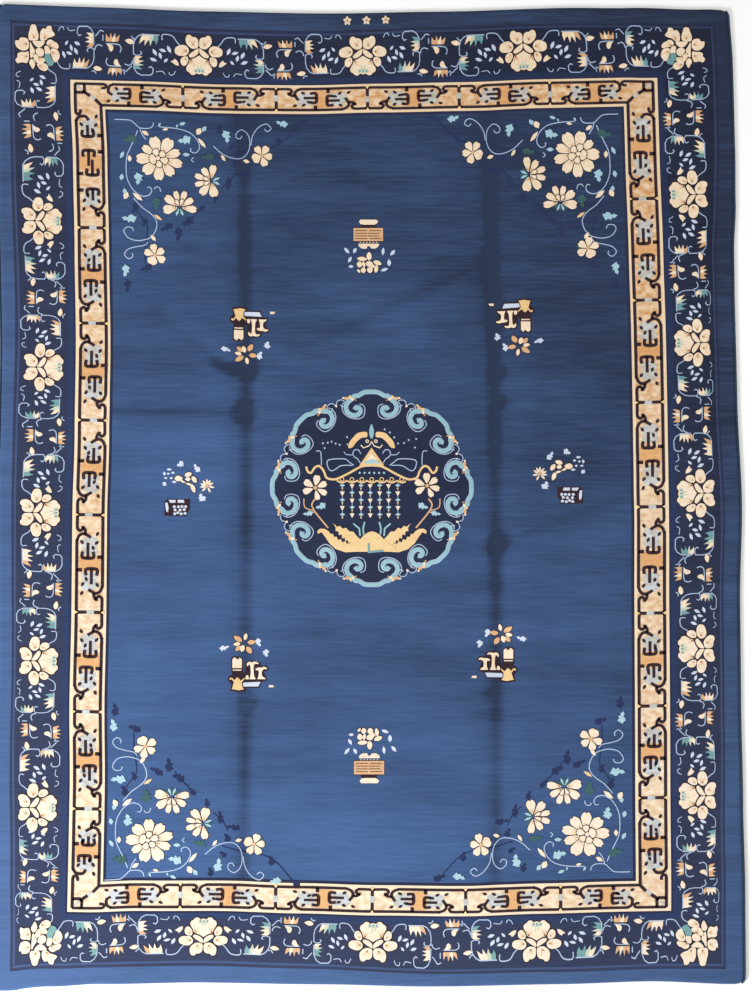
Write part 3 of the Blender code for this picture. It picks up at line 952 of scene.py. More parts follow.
def fretPut(side, place, fieldHooks, onward):  # local x along the side, y away from the hooks
    _, up, across = sideWays[side]
    inner, outer = ("innerV", "outerV") if side in ("top", "bottom") else ("innerU", "outerU")
    depth = (fret[outer] - fret[inner]) / (fret["gap"] * mm)
    start = fret[inner] if fieldHooks else fret[outer]
    return placeAt(*onSide(side, start, place), across * onward, up * depth * (1 if fieldHooks else -1))


def fretRow(side):
    places = crossbars[side]
    inner, outer = ("innerU", "outerU") if side in ("top", "bottom") else ("innerV", "outerV")
    corner = fret[outer] - fret["cornerIn"] * mm
    stops = [-corner, *places, corner]
    for index, place in enumerate(places):
        fieldHooks = index % 2 == 0
        crossbar(fretPut(side, place, fieldHooks, 1))
        for onward, neighbour in ((1, stops[index + 2]), (-1, stops[index])):
            reach = abs(neighbour - place) / 2 / mm
            if abs(neighbour) < corner:
                reach = min(reach, fret["widest"])
            fretHalf(fretPut(side, place, fieldHooks, onward), reach)
    innerAt = (corner - fret[inner]) / mm
    for end in (1, -1):
        reach = (corner - abs(places[-1 if end > 0 else 0])) / 2 / mm
        fretHalf(fretPut(side, end * corner, False, -end), reach, innerAt + 2)


def fretCorner(signU, signV):  # drawn for the top right, mm in from the outer corner
    put = placeAt(signU * fret["outerU"], signV * fret["outerV"], -signU, -1j * signV)
    width = fret["stroke"]
    ribbon("fretBrown", put, dots((0, 33), (26, 34), (35, 26), (34, 0)), width * 0.9, fret["lift"])
    lay("fretPale", put(dots((-4, 2), (20, 27), (27, 20), (2, -4))), 0.8)
    ribbon("fretBrown", put, dots((28, 28), (56, 46)), width, fret["lift"])
    ribbon("fretPale", put, dots((56, 46), (78, 62)), width * 0.9, 0.8)
    ribbon("fretBrown", put, dots((74, 58), (97, 81)), width, fret["lift"])


for side in crossbars:
    fretRow(side)
for signU, signV in ((1, 1), (-1, 1), (-1, -1), (1, -1)):
    fretCorner(signU, signV)
for colour in ("Brown", "Peach", "Pale", "Gold"):
    knotIn("fret" + colour, yarn[colour.lower()])


def maple(length, width):  # a cut leaf, its stalk at the start
    return dots((-length * 0.5, 0), (-length * 0.28, -width * 0.3), (-length * 0.12, -width * 0.2),
                (-length * 0.02, -width * 0.5), (length * 0.14, -width * 0.28),
                (length * 0.32, -width * 0.48), (length * 0.42, -width * 0.1), (length * 0.5, width * 0.3),
                (length * 0.34, width * 0.3), (length * 0.18, width * 0.5), (0, width * 0.4),
                (-length * 0.1, width * 0.1), (-length * 0.28, width * 0.2))


# Corner sprays, drawn for the top left, mm from the big peony, and mirrored
spray = {
    "vineWidth": 3.4, "shadowWidth": 4,
    "vines": (
        dots((-160, 144), (-106, 143), (-86, 130), (-68, 114), (-36, 113), (-22, 122), (-18, 135)),
        dots((3, 120), (61, 117), (111, 104), (141, 74), (147, 44), (132, 26), (115, 32), (116, 44)),
        dots((200, 55), (233, 25), (270, 9), (306, 10), (330, 36), (336, 74), (328, 104), (307, 120),
             (287, 108), (286, 90), (300, 86), (307, 97)),
        dots((340, 60), (346, 96), (368, 128), (398, 143), (416, 126), (402, 114), (391, 124)),
        dots((-68, 112), (-62, 92), (-48, 70)),
        dots((-77, 104), (-89, 74), (-104, 43), (-120, 6), (-124, -43), (-119, -84), (-98, -123),
             (-68, -144), (-43, -141), (-31, -126), (-36, -111), (-47, -112)),
        dots((2, -127), (-2, -112), (-15, -109), (-22, -118)),
        dots((-98, -153), (-68, -187), (-34, -212), (-15, -239), (-18, -271), (-36, -298), (-56, -308),
             (-87, -313), (-120, -304), (-137, -280), (-129, -264), (-108, -264), (-101, -277)),
        dots((-49, -318), (-60, -330), (-90, -336), (-122, -346), (-136, -366), (-121, -382), (-106, -374),
             (-107, -361)),
        dots((125, 8), (117, -2), (126, -10)),
    ),
    # Columns: across, along, degrees, length, width, yarn, outline
    "leaves": (
        (92, 74, 10, 50, 34, "Sky", maple), (249, 92, 95, 50, 32, "Sky", maple),
        (-80, -80, 80, 46, 34, "Sky", maple), (-117, -230, -5, 56, 32, "Sky", maple),
        (457, 145, -20, 46, 26, "Sky", maple), (-133, -428, 75, 46, 30, "Sky", maple),
        (-107, 71, 5, 56, 34, "Moss", maple), (178, 12, 5, 52, 28, "Moss", maple),
        (-15, -172, 80, 50, 36, "Moss", maple),
        (98, 18, 0, 28, 14, "Sky", kite), (-138, 10, 60, 30, 14, "Sky", kite),
        (-141, -74, 75, 26, 16, "Sky", kite), (86, 136, 20, 26, 12, "Sky", kite),
        (166, 120, 50, 26, 16, "Sky", kite), (-130, -128, 100, 24, 16, "Sky", kite),
        (3, 128, 60, 18, 8, "Sky", kite), (66, 126, 70, 14, 7, "Sky", kite),
        (146, 110, 60, 30, 22, "Cream", kite), (-126, -144, 60, 30, 20, "Cream", kite),
        (-110, -3, 90, 26, 15, "Cream", kite), (-49, 95, -35, 30, 15, "Cream", kite),
        (157, 66, -52, 48, 14, "Cream", kite), (-83, -147, -40, 46, 16, "Cream", kite),
        (-9, -224, -35, 38, 11, "Gold", kite), (236, 9, -58, 30, 12, "Cream", kite),
        (-28, -302, -50, 30, 14, "Cream", kite), (322, -2, -20, 26, 14, "Cream", kite),
        (24, 112, 10, 22, 10, "Cream", kite),
    ),
    # Dark leaves that show only as a tone. Columns: across, along, degrees, length, width
    "shadows": (
        (65, -286, 80, 54, 32), (100, -239, 20, 50, 32), (21, -262, 25, 56, 26), (-94, -189, 60, 44, 30),
        (-56, -416, 15, 50, 28), (-127, -484, 80, 50, 30), (254, -94, 80, 54, 26), (301, -53, 5, 56, 26),
        (280, -12, 60, 36, 28), (442, 71, 70, 38, 28), (528, 148, 20, 50, 28), (265, 53, 30, 32, 22),
        (221, 118, 70, 36, 26), (-60, -244, 60, 34, 24), (150, -190, 40, 40, 22), (205, -150, 70, 36, 22),
    ),
    "shadowStems": (dots((140, -205), (110, -230), (85, -262)), dots((230, -110), (262, -80), (282, -40)),
                    dots((-90, -200), (-72, -225), (-50, -262), (-58, -330), (-60, -400)),
                    dots((262, 20), (330, 40), (440, 60), (520, 140))),
}

# Each corner's flowers, in rug metres: big peony, the two half-open ones, and the two small blossoms
sprayFlowers = {
    (-1, 1): ((-0.772, 1.253), (-0.601, 1.174), (-0.697, 1.088), (-0.392, 1.272), (-0.794, 0.886)),
    (1, 1): ((0.784, 1.262), (0.624, 1.195), (0.715, 1.106), (0.397, 1.278), (0.815, 0.912)),
    (-1, -1): ((-0.800, -1.285), (-0.628, -1.220), (-0.719, -1.135), (-0.421, -1.296), (-0.818, -0.933)),
    (1, -1): ((0.785, -1.257), (0.616, -1.190), (0.706, -1.099), (0.407, -1.287), (0.805, -0.905)),
}

# Rings of petals. Columns: from and to this many degrees, from and to this far out
bigRing = ((84, 126, 24, 84), (40, 82, 24, 87), (4, 38, 27, 80), (-32, 2, 28, 86), (-72, -34, 26, 80),
           (-112, -74, 26, 84), (-156, -114, 26, 82), (162, 202, 26, 86), (128, 160, 27, 76))
bigHeart = ((58, 116, 12, 36), (-6, 54, 12, 34), (-68, -10, 12, 39), (-128, -72, 12, 35), (120, 228, 11, 32))
mediumRing = ((64, 101, 14, 64), (105, 141, 14, 60), (145, 175, 16, 66), (179, 208, 16, 64),
              (212, 252, 12, 66), (256, 305, 12, 62))
mediumHeart = ((138, 178, 5, 32), (184, 226, 5, 30))
smallRing = ((92, 148, 7, 44), (32, 88, 7, 45), (-36, 26, 7, 41), (-102, -42, 7, 44), (156, 250, 7, 40))


def wedge(start, end, inner, outer, gap):  # a rounded petal between two bearings, nicked at its tip
    middle = math.radians(start + end) / 2
    half = math.radians(end - start) / 2
    waist = inner + (outer - inner) * 0.6
    shape = []  # how far out, and share of the half width there
    for out, share in ((inner, 0.9), (waist, 1), (outer * 0.88, 0.74), (outer, 0.34), (outer * 0.95, 0)):
        shape.append((out, max(half * share - gap / 2 / out, 0)))
    right = [cmath.rect(out, middle - swing) for out, swing in shape]
    left = [cmath.rect(out, middle + swing) for out, swing in shape[-2::-1]]
    return right + left


def flower(put, ring, lift=1.2, centre=0, swing=0, size=1.0, gap=2.8):
    for start, end, inner, outer in ring:
        shape = turned(wedge(start, end, inner, outer, gap / size), swing, size, centre)
        lay("fieldBrown", put(grown(shape, gap)), lift - 0.6)
        lay("fieldCream", put(smooth(shape, 3)), lift)
        if outer - inner > 40:  # only a long petal is shaded
            way = toward((start + end) / 2 + swing, size)
            reach = (outer - inner) * 0.4 * size
            shadeFan("field", put, centre + way * inner, centre + way * outer, reach, 20)


def bigPeony(put):
    heart = -6
    lay("fieldBrown", put(disc(44, 24)), 0.5)
    flower(put, bigRing)
    lay("fieldBrown", put(disc(31, 30, heart)), 2.1)
    flower(put, bigHeart, 3.1, heart, 20)
    lay("fieldCream", put(disc(8, 40, heart)), 3.1)


def mediumPeony(put, swing):
    base = complex(20, -4) * toward(swing)
    flower(put, mediumRing, 1.2, base, swing)
    flower(put, mediumHeart, 3.1, base, swing)
    for number, degrees in enumerate((-46, -23, 0, 23, 46)):
        ray = turned(kite(30, 9), degrees + swing, 1, base + toward(degrees + swing, 20))
        lay("fieldSky" if number % 2 else "fieldMoss", put(ray), 1.4)


def smallBlossom(put, swing=0):
    flower(put, smallRing, 1.2, 0, swing, 0.96, 2.4)
    lay("fieldTan", put(turned(leafShape(13, 12), swing)), 2.3)
    lay("fieldMoss", put(turned(kite(26, 10), swing - 66, 1, toward(swing - 30, 30))), 1.5)


def fillSpray(corner):
    signU, signV = corner
    flowers = sprayFlowers[corner]
    put = placeAt(*flowers[0], -signU, signV * 1j)
    strew("fieldShadow", put, maple, spray["shadows"], 0.4)
    for stem in spray["shadowStems"]:
        stroke("fieldShadow", put, stem, spray["shadowWidth"], 0.9)
    for path in spray["vines"]:
        stroke("fieldVine", put, path, spray["vineWidth"], 1.0, 4)
    for *row, colour, outline in spray["leaves"]:
        strew("field" + colour, put, outline, (row,), 1.6)
    bigPeony(put)
    mediumPeony(placeAt(*flowers[1], -signU, signV * 1j), 0)
    mediumPeony(placeAt(*flowers[2], -signU, signV * 1j), -90)
    smallBlossom(placeAt(*flowers[3], -signU, signV * 1j))
    smallBlossom(placeAt(*flowers[4], -signU, signV * 1j), 40)


for corner in sprayFlowers:
    fillSpray(corner)

# Small things set out on the field, mm from each one's middle: a flower basin on a foot
basin = {
    "sides": dots((-55, 24), (55, 24), (55, -25), (-55, -25)),
    "foot": dots((-34, -50), (-28, -40), (-14, -38), (24, -38), (32, -42), (38, -50), (30, -57), (-28, -57)),
    "collar": dots((-37, 34), (-36, 44), (-24, 52), (-8, 53), (-2, 42), (4, 44), (12, 52), (26, 52),
                   (38, 44), (40, 34)),
    # Columns: across, along, degrees, length, width
    "petals": ((-20, 134, 90, 22, 18), (4, 133, 90, 24, 20), (28, 129, 100, 30, 14), (-37, 137, 50, 16, 9),
               (-34, 112, 95, 24, 19), (-18, 112, 80, 24, 11), (3, 110, 10, 28, 20), (33, 106, 20, 32, 16),
               (-24, 91, 5, 38, 15), (2, 81, -90, 32, 18), (14, 120, -30, 20, 12)),
    "leaves": ((-66, 120, 0, 20, 11), (-70, 94, -62, 26, 12), (-81, 60, 48, 30, 12), (-51, 60, -60, 24, 13),
               (58, 132, -20, 30, 12), (76, 106, 90, 28, 15), (90, 68, -50, 28, 13), (54, 63, 95, 30, 12)),
    "mouth": dots((-32, -26), (32, -26), (26, -37), (-26, -37)),
    "beads": (-30, -18, -6, 6, 18, 30), "beadAt": 29,
    # Dark lines in two runs. Columns: height, start of the first and the second
    "lines": ((15, -49, 4), (5, -49, -2), (-5, -49, -2), (-15, -49, 4)), "lineLong": 44, "lineHalf": 1.2,
    "places": ((0.001, 0.971, -1), (-0.004, -1.004, 1)),
}

# A scholar's table: two stands, a vessel and a vase over a bench
table = {
    "petals": ((1, 60, -124, 30, 18, "Tan"), (25, 66, -72, 26, 16, "Cream"), (41, 66, -42, 26, 15, "Tan"),
               (46, 82, -9, 26, 13, "Cream"), (42, 101, 32, 36, 17, "Tan"), (14, 109, 103, 26, 13, "Cream"),
               (-8, 89, 173, 30, 16, "Tan")),
    "leaves": ((-62, 49, 72, 28, 26), (-34, 88, 60, 32, 24), (91, 68, -20, 38, 20)),
    "cream": (dots((28, -15.5), (60, -15.5), (60, -11.5), (28, -11)),
              dots((26.5, -6), (61.5, -6), (61.5, 25), (55, 33), (49, 32), (48, 28), (42, 26), (36, 29),
                   (38, 33), (31, 30), (26.5, 25)),
              dots((-62, -46), (-30, -46), (-34, -37), (-36, -22), (-34, -13), (-25, -14), (-23, -8),
                   (-34, -3), (-47, -3), (-55, 0), (-65, -4), (-66, -9), (-57, -9), (-49, -13), (-46, -22),
                   (-48, -35), (-55, -39)),
              dots((-23, -47), (0, -47), (-4, -39), (-6, -22), (-5, -3), (-3, 6), (3, 6), (5, 0), (9.5, 4),
                   (7, 14), (-2, 18), (-10.5, 15), (-17, 18), (-28.5, 17), (-36, 11), (-31, 9), (-23, 11),
                   (-18, 6), (-16.5, -5), (-17, -22), (-19, -37), (-23, -41)),
              dots((1, -47), (14, -47), (12, -35), (6.5, -31), (2, -35)),
              dots((-93, -75), (-73, -76), (-73, -67), (-87, -67))),
    "gold": dots((18, -84), (38, -87.5), (63.5, -83), (60.5, -77), (58, -66.5), (55, -58), (63.5, -47),
                 (70, -50), (71.5, -44), (66, -40.5), (59.5, -43.5), (54, -51.5), (49, -45), (42.5, -40),
                 (36, -45), (31, -52), (23, -47), (18, -41), (16.5, -45), (23.5, -55), (26.5, -58),
                 (25.5, -70.5), (23, -77)),
    "shade": dots((12, -91), (38, -94), (70, -89), (64, -66), (77, -52), (76, -38), (62, -30), (66, -10),
                  (66, 30), (56, 38), (30, 35), (22, 24), (22, -20), (14, -26), (14, 6), (10, 20),
                  (-16, 23), (-42, 15), (-42, 3), (-62, 5), (-71, -4), (-70, -14), (-54, -18), (-68, -50),
                  (-46, -56), (-38, -78), (10, -79)),
    "bench": dots((-42, -56), (-34, -73), (21, -74), (23, -62), (17, -59)),
    "places": ((0.462, -0.603, 1, 1), (-0.446, -0.637, -1, 1), (0.537, 0.634, 1, -1),
               (-0.441, 0.604, -1, -1)),
}

# A lattice box with an orchid and a star flower
latticeBox = {
    "shade": dots((-45, 22), (-33, 33), (48, 33), (46, -5), (36, -20), (34, -30), (-45, -30)),
    "posts": (dots((-42, 18), (-34, 19), (-30, 0), (-32, -17), (-38, -14), (-41, 0)),
              dots((-31, 29), (-5, 29), (-6, 19), (-24, 18)), dots((2, 30), (24, 30), (27, 19), (2, 19))),
    "lattice": ((-10, 4), (5, 4), (18, 5), (31, 5), (-7, -8), (11, -8), (26, -6), (-8, -22), (3, -18),
                (15, -22), (29, -20)),
    "drops": ((-30, 142, 0, 20, 9), (-47, 126, 90, 15, 10), (-33, 126, 0, 11, 8), (-16, 130, 0, 13, 9),
              (-42, 110, 0, 13, 8), (-22, 110, 0, 11, 9), (-46, 88, -50, 18, 15), (-11, 96, 0, 19, 9)),
    "leaves": ((10, 162, 20, 28, 24), (71, 149, -60, 36, 22), (90, 40, -70, 32, 30)),
    "petals": ((40, 124, 20, 28, 16), (5, 109, 0, 30, 20), (62, 106, -55, 28, 16), (58, 73, -68, 34, 15),
               (20, 98, -25, 26, 7), (44, 88, -15, 26, 8), (39, 107, 0, 20, 14)),
    "star": (110, 82), "rays": (92, 128, 160, 188, 226, 298, 350, 30, 62),
    "places": ((-0.713, -0.056, 1), (0.736, -0.011, -1)),
}


def blossom(put, rows, colour="Cream"):  # loose petals, each with its dark edge
    for across, along, degrees, length, width in rows:
        shape = turned(leafShape(length, width), degrees, 1, complex(across, along))
        lay("fieldBrown", put(grown(shape, 2.6)), 0.5)
        lay("field" + colour, put(shape))


def basinAt(put):
    lay("fieldBrown", put(grown(basin["sides"], 3)), 0.4)
    lay("fieldTan", put(basin["sides"]))
    half = basin["lineHalf"]
    for high, *starts in basin["lines"]:
        for start in starts:
            end = start + basin["lineLong"]
            line = dots((start, high + half), (end, high + half), (end, high - half), (start, high - half))
            lay("fieldBrown", put(line), 1.5)
    lay("fieldCream", put(basin["foot"]))
    lay("fieldBrown", put(basin["mouth"]), 1.0)
    lay("fieldCream", put(basin["collar"]))
    strew("fieldCream", put, kite, [(across, basin["beadAt"], 0, 5, 5) for across in basin["beads"]], 1.3)
    blossom(put, basin["petals"])
    strew("fieldMist", put, kite, basin["leaves"])


def tableAt(put):
    for *row, colour in table["petals"]:
        blossom(put, (row,), colour)
    strew("fieldMist", put, maple, table["leaves"])
    lay("fieldBrown", put(table["shade"]), 0.3)
    for shape in table["cream"]:
        lay("fieldCream", put(shape), 1.0)
    lay("fieldGold", put(table["gold"]), 1.3)
    lay("fieldMist", put(table["bench"]), 0.9)


def latticeBoxAt(put):
    lay("fieldBrown", put(latticeBox["shade"]), 0.4)
    for shape in latticeBox["posts"]:
        lay("fieldMist", put(shape))
    strew("fieldMist", put, kite, [(*place, 20, 13, 11) for place in latticeBox["lattice"]])
    strew("fieldMist", put, kite, latticeBox["drops"])
    strew("fieldMist", put, maple, latticeBox["leaves"])
    blossom(put, latticeBox["petals"])
    centre = complex(*latticeBox["star"])
    for degrees in latticeBox["rays"]:
        lay("fieldCream", put(turned(kite(24, 8), degrees, 1, centre + toward(degrees) * 16)))
    lay("fieldTan", put(turned(leafShape(11, 10), 0, 1, centre)), 2.2)


def fillField():
    for u, v, up in basin["places"]:
        basinAt(placeAt(u, v, 1, up * 1j))
    for u, v, along, up in table["places"]:
        tableAt(placeAt(u, v, along, up * 1j))
    for u, v, along in latticeBox["places"]:
        latticeBoxAt(placeAt(u, v, along, 1j))


# Three small blossoms on the top edge band
florets = {
    "places": ((-0.062, 1.776), (0.010, 1.776), (0.082, 1.776)), "petals": 5, "petal": (13, 9), "out": 9,
}


def fillFlorets():
    for u, v in florets["places"]:
        for number in range(florets["petals"]):
            degrees = 90 + 360 / florets["petals"] * number
            shape = turned(leafShape(*florets["petal"]), degrees, 1, toward(degrees, florets["out"]))
            lay("fieldCream", placeAt(u, v)(shape), 1.0)


fillField()
fillFlorets()

# Centre medallion: eight cloud heads round a canopy hung with beads, in mm from its middle
medallion = {
    "place": (0.005, 0.023), "heads": 8, "headOut": (313, 303), "joinOut": 1.055,
    "groundOut": 340, "groundLobe": 26, "lobePower": 0.8, "meanOut": 308,
    "band": 12, "bandEdge": 17, "outline": 3.2,
}

# A cloud head's right half, mm from its middle, outwards up: the band's curl, then the line round it
cloudCurl = dots((0, 55), (26, 53), (48, 41), (62, 39), (76, 25), (88, 14), (94, -2), (88, -21), (70, -32),
                 (52, -31), (41, -20), (43, -7), (55, -3), (62, -12))
cloudLine = dots((44, 9), (34, 7), (27, 1), (24, -13), (27, -32), (38, -43), (58, -46), (82, -40),
                 (102, -24), (109, -2), (103, 15))

# Between two heads, mm from the medallion's edge line there, outwards up
joinLine = dots((0, 12), (14, 26), (32, 20), (34, 4), (22, -2), (16, 8))
joinTail = dots((34, 4), (48, 0), (60, 12), (52, 24))
joinSprig = ((46, 22, -20, 22, "Tan"), (60, 22, 40, 18, "Gold"), (66, 12, -60, 18, "Cream"),
             (36, 28, 10, 12, "Cream"))
joinStalk = dots((40, 18), (54, 17), (70, 20), (76, 10), (74, 0))

roofLine = dots((-242, 79), (-237, 62), (-224, 56), (-210, 76), (-193, 81), (-177, 62), (-167, 38),
                (-144, 32), (-126, 35), (-86, 54), (-38, 80), (0, 84))
canopy = {
    "wing": dots((-86, 149), (-81, 172), (-66, 190), (-50, 205), (-21, 209), (-15, 200), (-18, 189),
                 (-38, 186), (-58, 168), (-70, 152)),
    "finial": bothHalves((0, 238), (-8, 218), (-8, 198), (0, 182)),
    "tentEdge": dots((0, 150), (-46, 83), (46, 83)),
    "tent": dots((0, 130), (-29, 91), (29, 91)),
    "tentShade": dots((-24, 99), (-29, 91), (29, 91), (24, 99), (0, 106)),
    "brow": bothHalves((-40, 160), (-30, 149), (-9, 157), (0, 172)),
    "loop": dots((-40, 127), (-50, 142), (-64, 140), (-70, 126), (-62, 114), (-52, 108), (-42, 92)),
    "ribbonLoop": dots((-66, 84), (-84, 97), (-102, 108), (-160, 104), (-163, 80), (-152, 64), (-136, 68),
                       (-112, 83), (-72, 84)),
    "feeler": dots((-103, 134), (-92, 124), (-72, 123)),
    "pole": dots((-206, 136), (-192, 137), (-187, 122), (-186, 84)),
    "scallopEnd": 129, "scallopWide": 37, "scallopTop": 28, "scallopDrop": 8,
    "ringFrom": -110, "ringStep": 36.7, "rings": 7, "ringAt": 32,
    "studs": (-45, -27, -9, 9, 27, 45), "studAt": 56,
    "stringX": (-109, -73, -40, -6, 29, 62, 96), "stringTop": 20, "stringEnd": -108,
    "beads": 5, "beadFrom": 12, "beadStep": 27,
    "longBead": dots((-9, 6), (9, 6), (4, -4), (0, -11), (-4, -4)),
    "roundBead": dots((-10, 2), (0, 8), (10, 2), (0, -5)), "beadTip": dots((-4, -7), (4, -7), (0, -15)),
    "dots": ((-174, 148), (-162, 168), (-133, 165), (-118, 160), (-89, 162), (-91, 189), (84, 188),
             (98, 165), (120, 167), (137, 178), (160, 150), (165, 182), (68, 206), (49, 218), (-180, 166),
             (-148, 172)),
}
basket = {
    "arm": dots((-200, -170), (-202, -160), (-192, -151), (-176, -151), (-160, -160), (-152, -171),
                (-144, -169), (-140, -181), (-130, -180), (-126, -192), (-114, -190), (-110, -201),
                (-98, -197), (-92, -207), (-70, -202), (-60, -236), (-98, -238), (-134, -226), (-158, -204),
                (-172, -182), (-186, -164)),
    "innerLeaf": dots((-144, -130), (-128, -144), (-118, -140), (-108, -151), (-96, -147), (-84, -160),
                      (-68, -162), (-54, -180), (-36, -196), (-56, -226), (-74, -212), (-80, -200),
                      (-86, -206), (-90, -192), (-98, -198), (-101, -183), (-110, -188), (-112, -172),
                      (-122, -175), (-124, -160), (-134, -160), (-134, -146)),
    "body": bothHalves((-92, -236), (-84, -216), (-60, -204), (-42, -188), (-30, -174), (-14, -164),
                       (0, -160)),
    "foot": dots((-12, -204), (-12, -237), (42, -232)),
    "stems": (dots((-69, -132), (-47, -150), (-44, -178)), dots((-27, -126), (-33, -150), (-31, -172))),
}
orchid = {
    "ring": ((56, 104, 12, 48), (2, 46, 12, 46), (-48, -8, 12, 48), (-96, -58, 12, 46), (124, 170, 12, 48),
             (178, 222, 12, 48)),
    "places": ((-209, 0, 0), (204, 8, 12)),
    "branch": dots((-209, -40), (-222, -62), (-212, -86), (-192, -112), (-162, -148)),
    "twigs": (dots((-251, -40), (-248, -72), (-218, -84)), dots((-232, -92), (-212, -90))),
    "leaves": ((-189, -68, 15, 40, 26), (-236, -95, 5, 38, 20)),
}


def cloudHead(put):
    for mirror in mirrors:
        stroke("fieldCloud", put, mirror(cloudCurl), medallion["band"], 1.4, 5)
        stroke("fieldVine", put, mirror(cloudLine), medallion["outline"], 1.0, 4)
        stroke("fieldVine", put, mirror(cloudCurl), medallion["bandEdge"], 0.7, 5)


def cloudJoin(put):
    for mirror in mirrors:
        stroke("fieldVine", put, mirror(joinLine), medallion["outline"], 1.2, 4)
        stroke("fieldVine", put, mirror(joinTail), medallion["outline"], 1.2, 4)
        for across, along, degrees, length, colour in joinSprig:
            leaf = turned(kite(length, length * 0.55), degrees, 1, complex(across, along))
            lay("field" + colour, put(mirror(leaf)), 1.5)
        stroke("fieldTan", put, mirror(joinStalk), 3, 1.0)
    lay("fieldCream", put(turned(leafShape(9, 9), 0, 1, 10j)), 1.4)


def ringAt(piece, put, centre, radius, width):
    ribbon(piece, put, disc(radius, 30, centre, 361), width, 1.6)


def onRing(degrees, out=1):  # a place on the ring of cloud heads, with local y outwards
    way = toward(degrees)
    u, v = medallion["place"]
    outU, outV = medallion["headOut"]
    return placeAt(u + outU * way.real * out * mm, v + outV * way.imag * out * mm, -1j * way, way)


def fillGround(put):
    edge = []
    for degrees in range(0, 360, 5):
        lobe = abs(math.cos(math.radians(medallion["heads"] / 2 * degrees))) ** medallion["lobePower"]
        reach = toward(degrees, medallion["groundOut"] + medallion["groundLobe"] * lobe)
        outU, outV = medallion["headOut"]
        edge.append(complex(reach.real * outU, reach.imag * outV) / medallion["meanOut"])
    lay("fieldNavy", put(edge), 0.4)


def fillCanopy(put):
    for mirror in mirrors:
        lay("fieldGold", put(mirror(smooth(canopy["wing"], 3))), 1.4)
        stroke("fieldGold", put, mirror(roofLine), 8, 1.5)
        for name, width in (("loop", 3.4), ("ribbonLoop", 3.6), ("feeler", 3), ("pole", 3.4)):
            stroke("fieldVine", put, mirror(canopy[name]), width, 1.3)
        ringAt("fieldCream", put, mirror([-16 + 174j])[0], 5, 3.6)
        lay("fieldGold", put(mirror(basket["arm"])), 1.3)
        lay("fieldGold", put(mirror(basket["innerLeaf"])), 1.7)
        for stem in basket["stems"]:
            ribbon("fieldCloud", put, mirror(stem), 6, 1.5)
    lay("fieldCloud", put(smooth(canopy["finial"], 3)), 1.5)
    ribbon("fieldCream", put, canopy["brow"], 4, 1.5)
    lay("fieldGold", put(canopy["tentEdge"]), 1.2)
    lay("fieldCream", put(canopy["tent"]), 2.3)
    lay("fieldSky", put(canopy["tentShade"]), 3.4)
    lay("fieldGold", put(basket["body"]), 2.3)
    ribbon("fieldTeal", put, basket["foot"], 8, 3.2)
    scallops = []
    for across in range(-canopy["scallopEnd"], canopy["scallopEnd"] + 2, 5):
        dip = abs(math.sin(math.pi * (across + canopy["scallopEnd"]) / canopy["scallopWide"]))
        scallops.append(complex(across, canopy["scallopTop"] - canopy["scallopDrop"] * dip))
    ribbon("fieldGold", put, scallops, 6, 1.5)
    for number in range(canopy["rings"]):
        centre = complex(canopy["ringFrom"] + canopy["ringStep"] * number, canopy["ringAt"])
        ringAt("fieldGold", put, centre, 7, 3.2)
    strew("fieldSky", put, kite, [(across, canopy["studAt"], 0, 9, 9) for across in canopy["studs"]])
    strew("fieldVine", put, kite, [(*place, 0, 8, 8) for place in canopy["dots"]])


def hangBeads(put):
    for number, across in enumerate(canopy["stringX"]):
        top = canopy["stringTop"]
        ribbon("fieldVine", put, dots((across, top), (across, canopy["stringEnd"])), 2, 0.9)
        for bead in range(canopy["beads"]):
            centre = complex(across, top - canopy["beadFrom"] - canopy["beadStep"] * bead)
            if (number + bead) % 2:
                lay("fieldCream", put(turned(canopy["longBead"], 0, 1, centre)), 1.6)
            else:
                lay("fieldSky", put(turned(canopy["roundBead"], 0, 1, centre)), 1.4)
                lay("fieldGold", put(turned(canopy["beadTip"], 0, 1, centre)), 1.5)


def fillOrchids(put):
    for across, along, swing in orchid["places"]:
        flower(put, orchid["ring"], 1.5, complex(across, along), swing, 1, 2.2)
        lay("fieldTan", put(turned(leafShape(15, 13), 0, 1, complex(across, along))), 2.5)
    for mirror in mirrors:
        stroke("fieldTan", put, mirror(orchid["branch"]), 5.5)
        for twig in orchid["twigs"]:
            stroke("fieldTan", put, mirror(twig), 4)
        for across, along, degrees, length, width in orchid["leaves"]:
            leaf = turned(maple(length, width), degrees, 1, complex(across, along))
            lay("fieldSky", put(mirror(leaf)), 1.6)


def fillMedallion():
    put = placeAt(*medallion["place"])
    fillGround(put)
    apart = 360 / medallion["heads"]
    for number in range(medallion["heads"]):
        cloudHead(onRing(apart * number))
        cloudJoin(onRing(apart * (number + 0.5), medallion["joinOut"]))
    fillCanopy(put)
    hangBeads(put)
    fillOrchids(put)


fillMedallion()
for colour in ("Shadow", "Navy", "Brown", "Tan", "Vine", "Sky", "Moss", "Teal", "Cloud", "Mist"):
    knotIn("field" + colour, yarn[colour.lower()])
for colour in ("Cream", "Gold"):
    knotIn("field" + colour, yarn[colour.lower()], clipped=True)

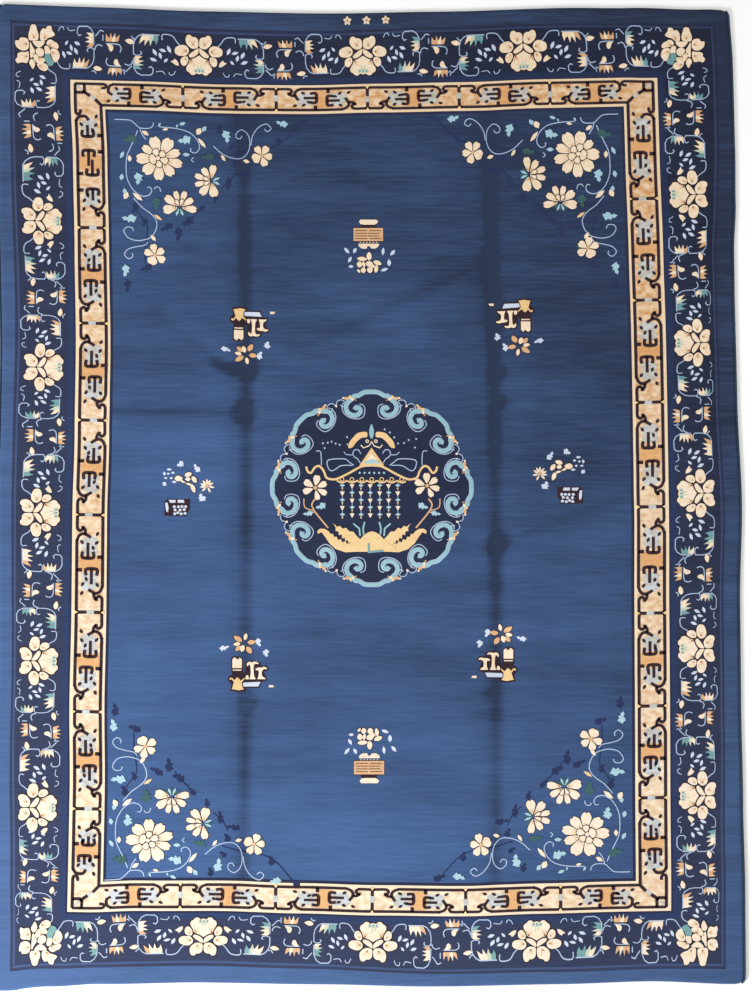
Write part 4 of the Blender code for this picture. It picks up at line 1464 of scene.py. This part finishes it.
# Floor, light and camera
studio = {
    "floorHalf": 7, "floorDrop": 0.5 * mm, "floorColour": "#F2F2F0", "floorRoughness": 0.9,
    # The camera's place is from the straight rug's middle
    "lens": 50.07, "cameraPlace": (0.0422, -0.3010, 5.139), "cameraTilt": 2.751,
    "keyPlace": (-6.0, -6.0, 3.6), "keySize": 2.4, "keyPower": 1100,
    "fillPlace": (2.0, 1.5, 6.0), "fillSize": 6.0, "fillPower": 120, "skyStrength": 0.55,
}


def layFloor():
    shape = bmesh.new()
    bmesh.ops.create_grid(shape, x_segments=1, y_segments=1, size=studio["floorHalf"])
    mesh = bpy.data.meshes.new("studioFloor")
    shape.to_mesh(mesh)
    shape.free()
    paper = bpy.data.materials.new("paleMattPaper")
    paper.use_nodes = True
    shader = paper.node_tree.nodes["Principled BSDF"]
    shader.inputs["Base Color"].default_value = linear(studio["floorColour"])
    shader.inputs["Roughness"].default_value = studio["floorRoughness"]
    mesh.materials.append(paper)
    floor = bpy.data.objects.new("studioFloor", mesh)
    floor.location.z = -studio["floorDrop"]
    bpy.context.scene.collection.objects.link(floor)


def softLight(name, place, size, power):
    lamp = bpy.data.lights.new(name, "AREA")
    lamp.shape = "DISK"
    lamp.size = size
    lamp.energy = power
    light = bpy.data.objects.new(name, lamp)
    light.location = place
    light.rotation_euler = (-Vector(place)).to_track_quat("-Z", "Y").to_euler()
    bpy.context.scene.collection.objects.link(light)


def lookDown():
    view = bpy.data.cameras.new("overheadCamera")
    view.lens = studio["lens"]
    view.sensor_width = 36
    view.clip_end = 100
    camera = bpy.data.objects.new("overheadCamera", view)
    x, y, z = studio["cameraPlace"]
    camera.location = (x - middle[0], y - middle[1], z)
    camera.rotation_euler = (math.radians(studio["cameraTilt"]), 0, 0)
    bpy.context.scene.collection.objects.link(camera)
    bpy.context.scene.camera = camera


layFloor()
softLight("lowKeyLight", studio["keyPlace"], studio["keySize"], studio["keyPower"])
softLight("highFillLight", studio["fillPlace"], studio["fillSize"], studio["fillPower"])
sky = bpy.data.worlds.new("studioSky")
sky.use_nodes = True
sky.node_tree.nodes["Background"].inputs["Color"].default_value = (1, 1, 1, 1)
sky.node_tree.nodes["Background"].inputs["Strength"].default_value = studio["skyStrength"]
bpy.context.scene.world = sky
lookDown()
bpy.context.scene.view_settings.view_transform = "Standard"
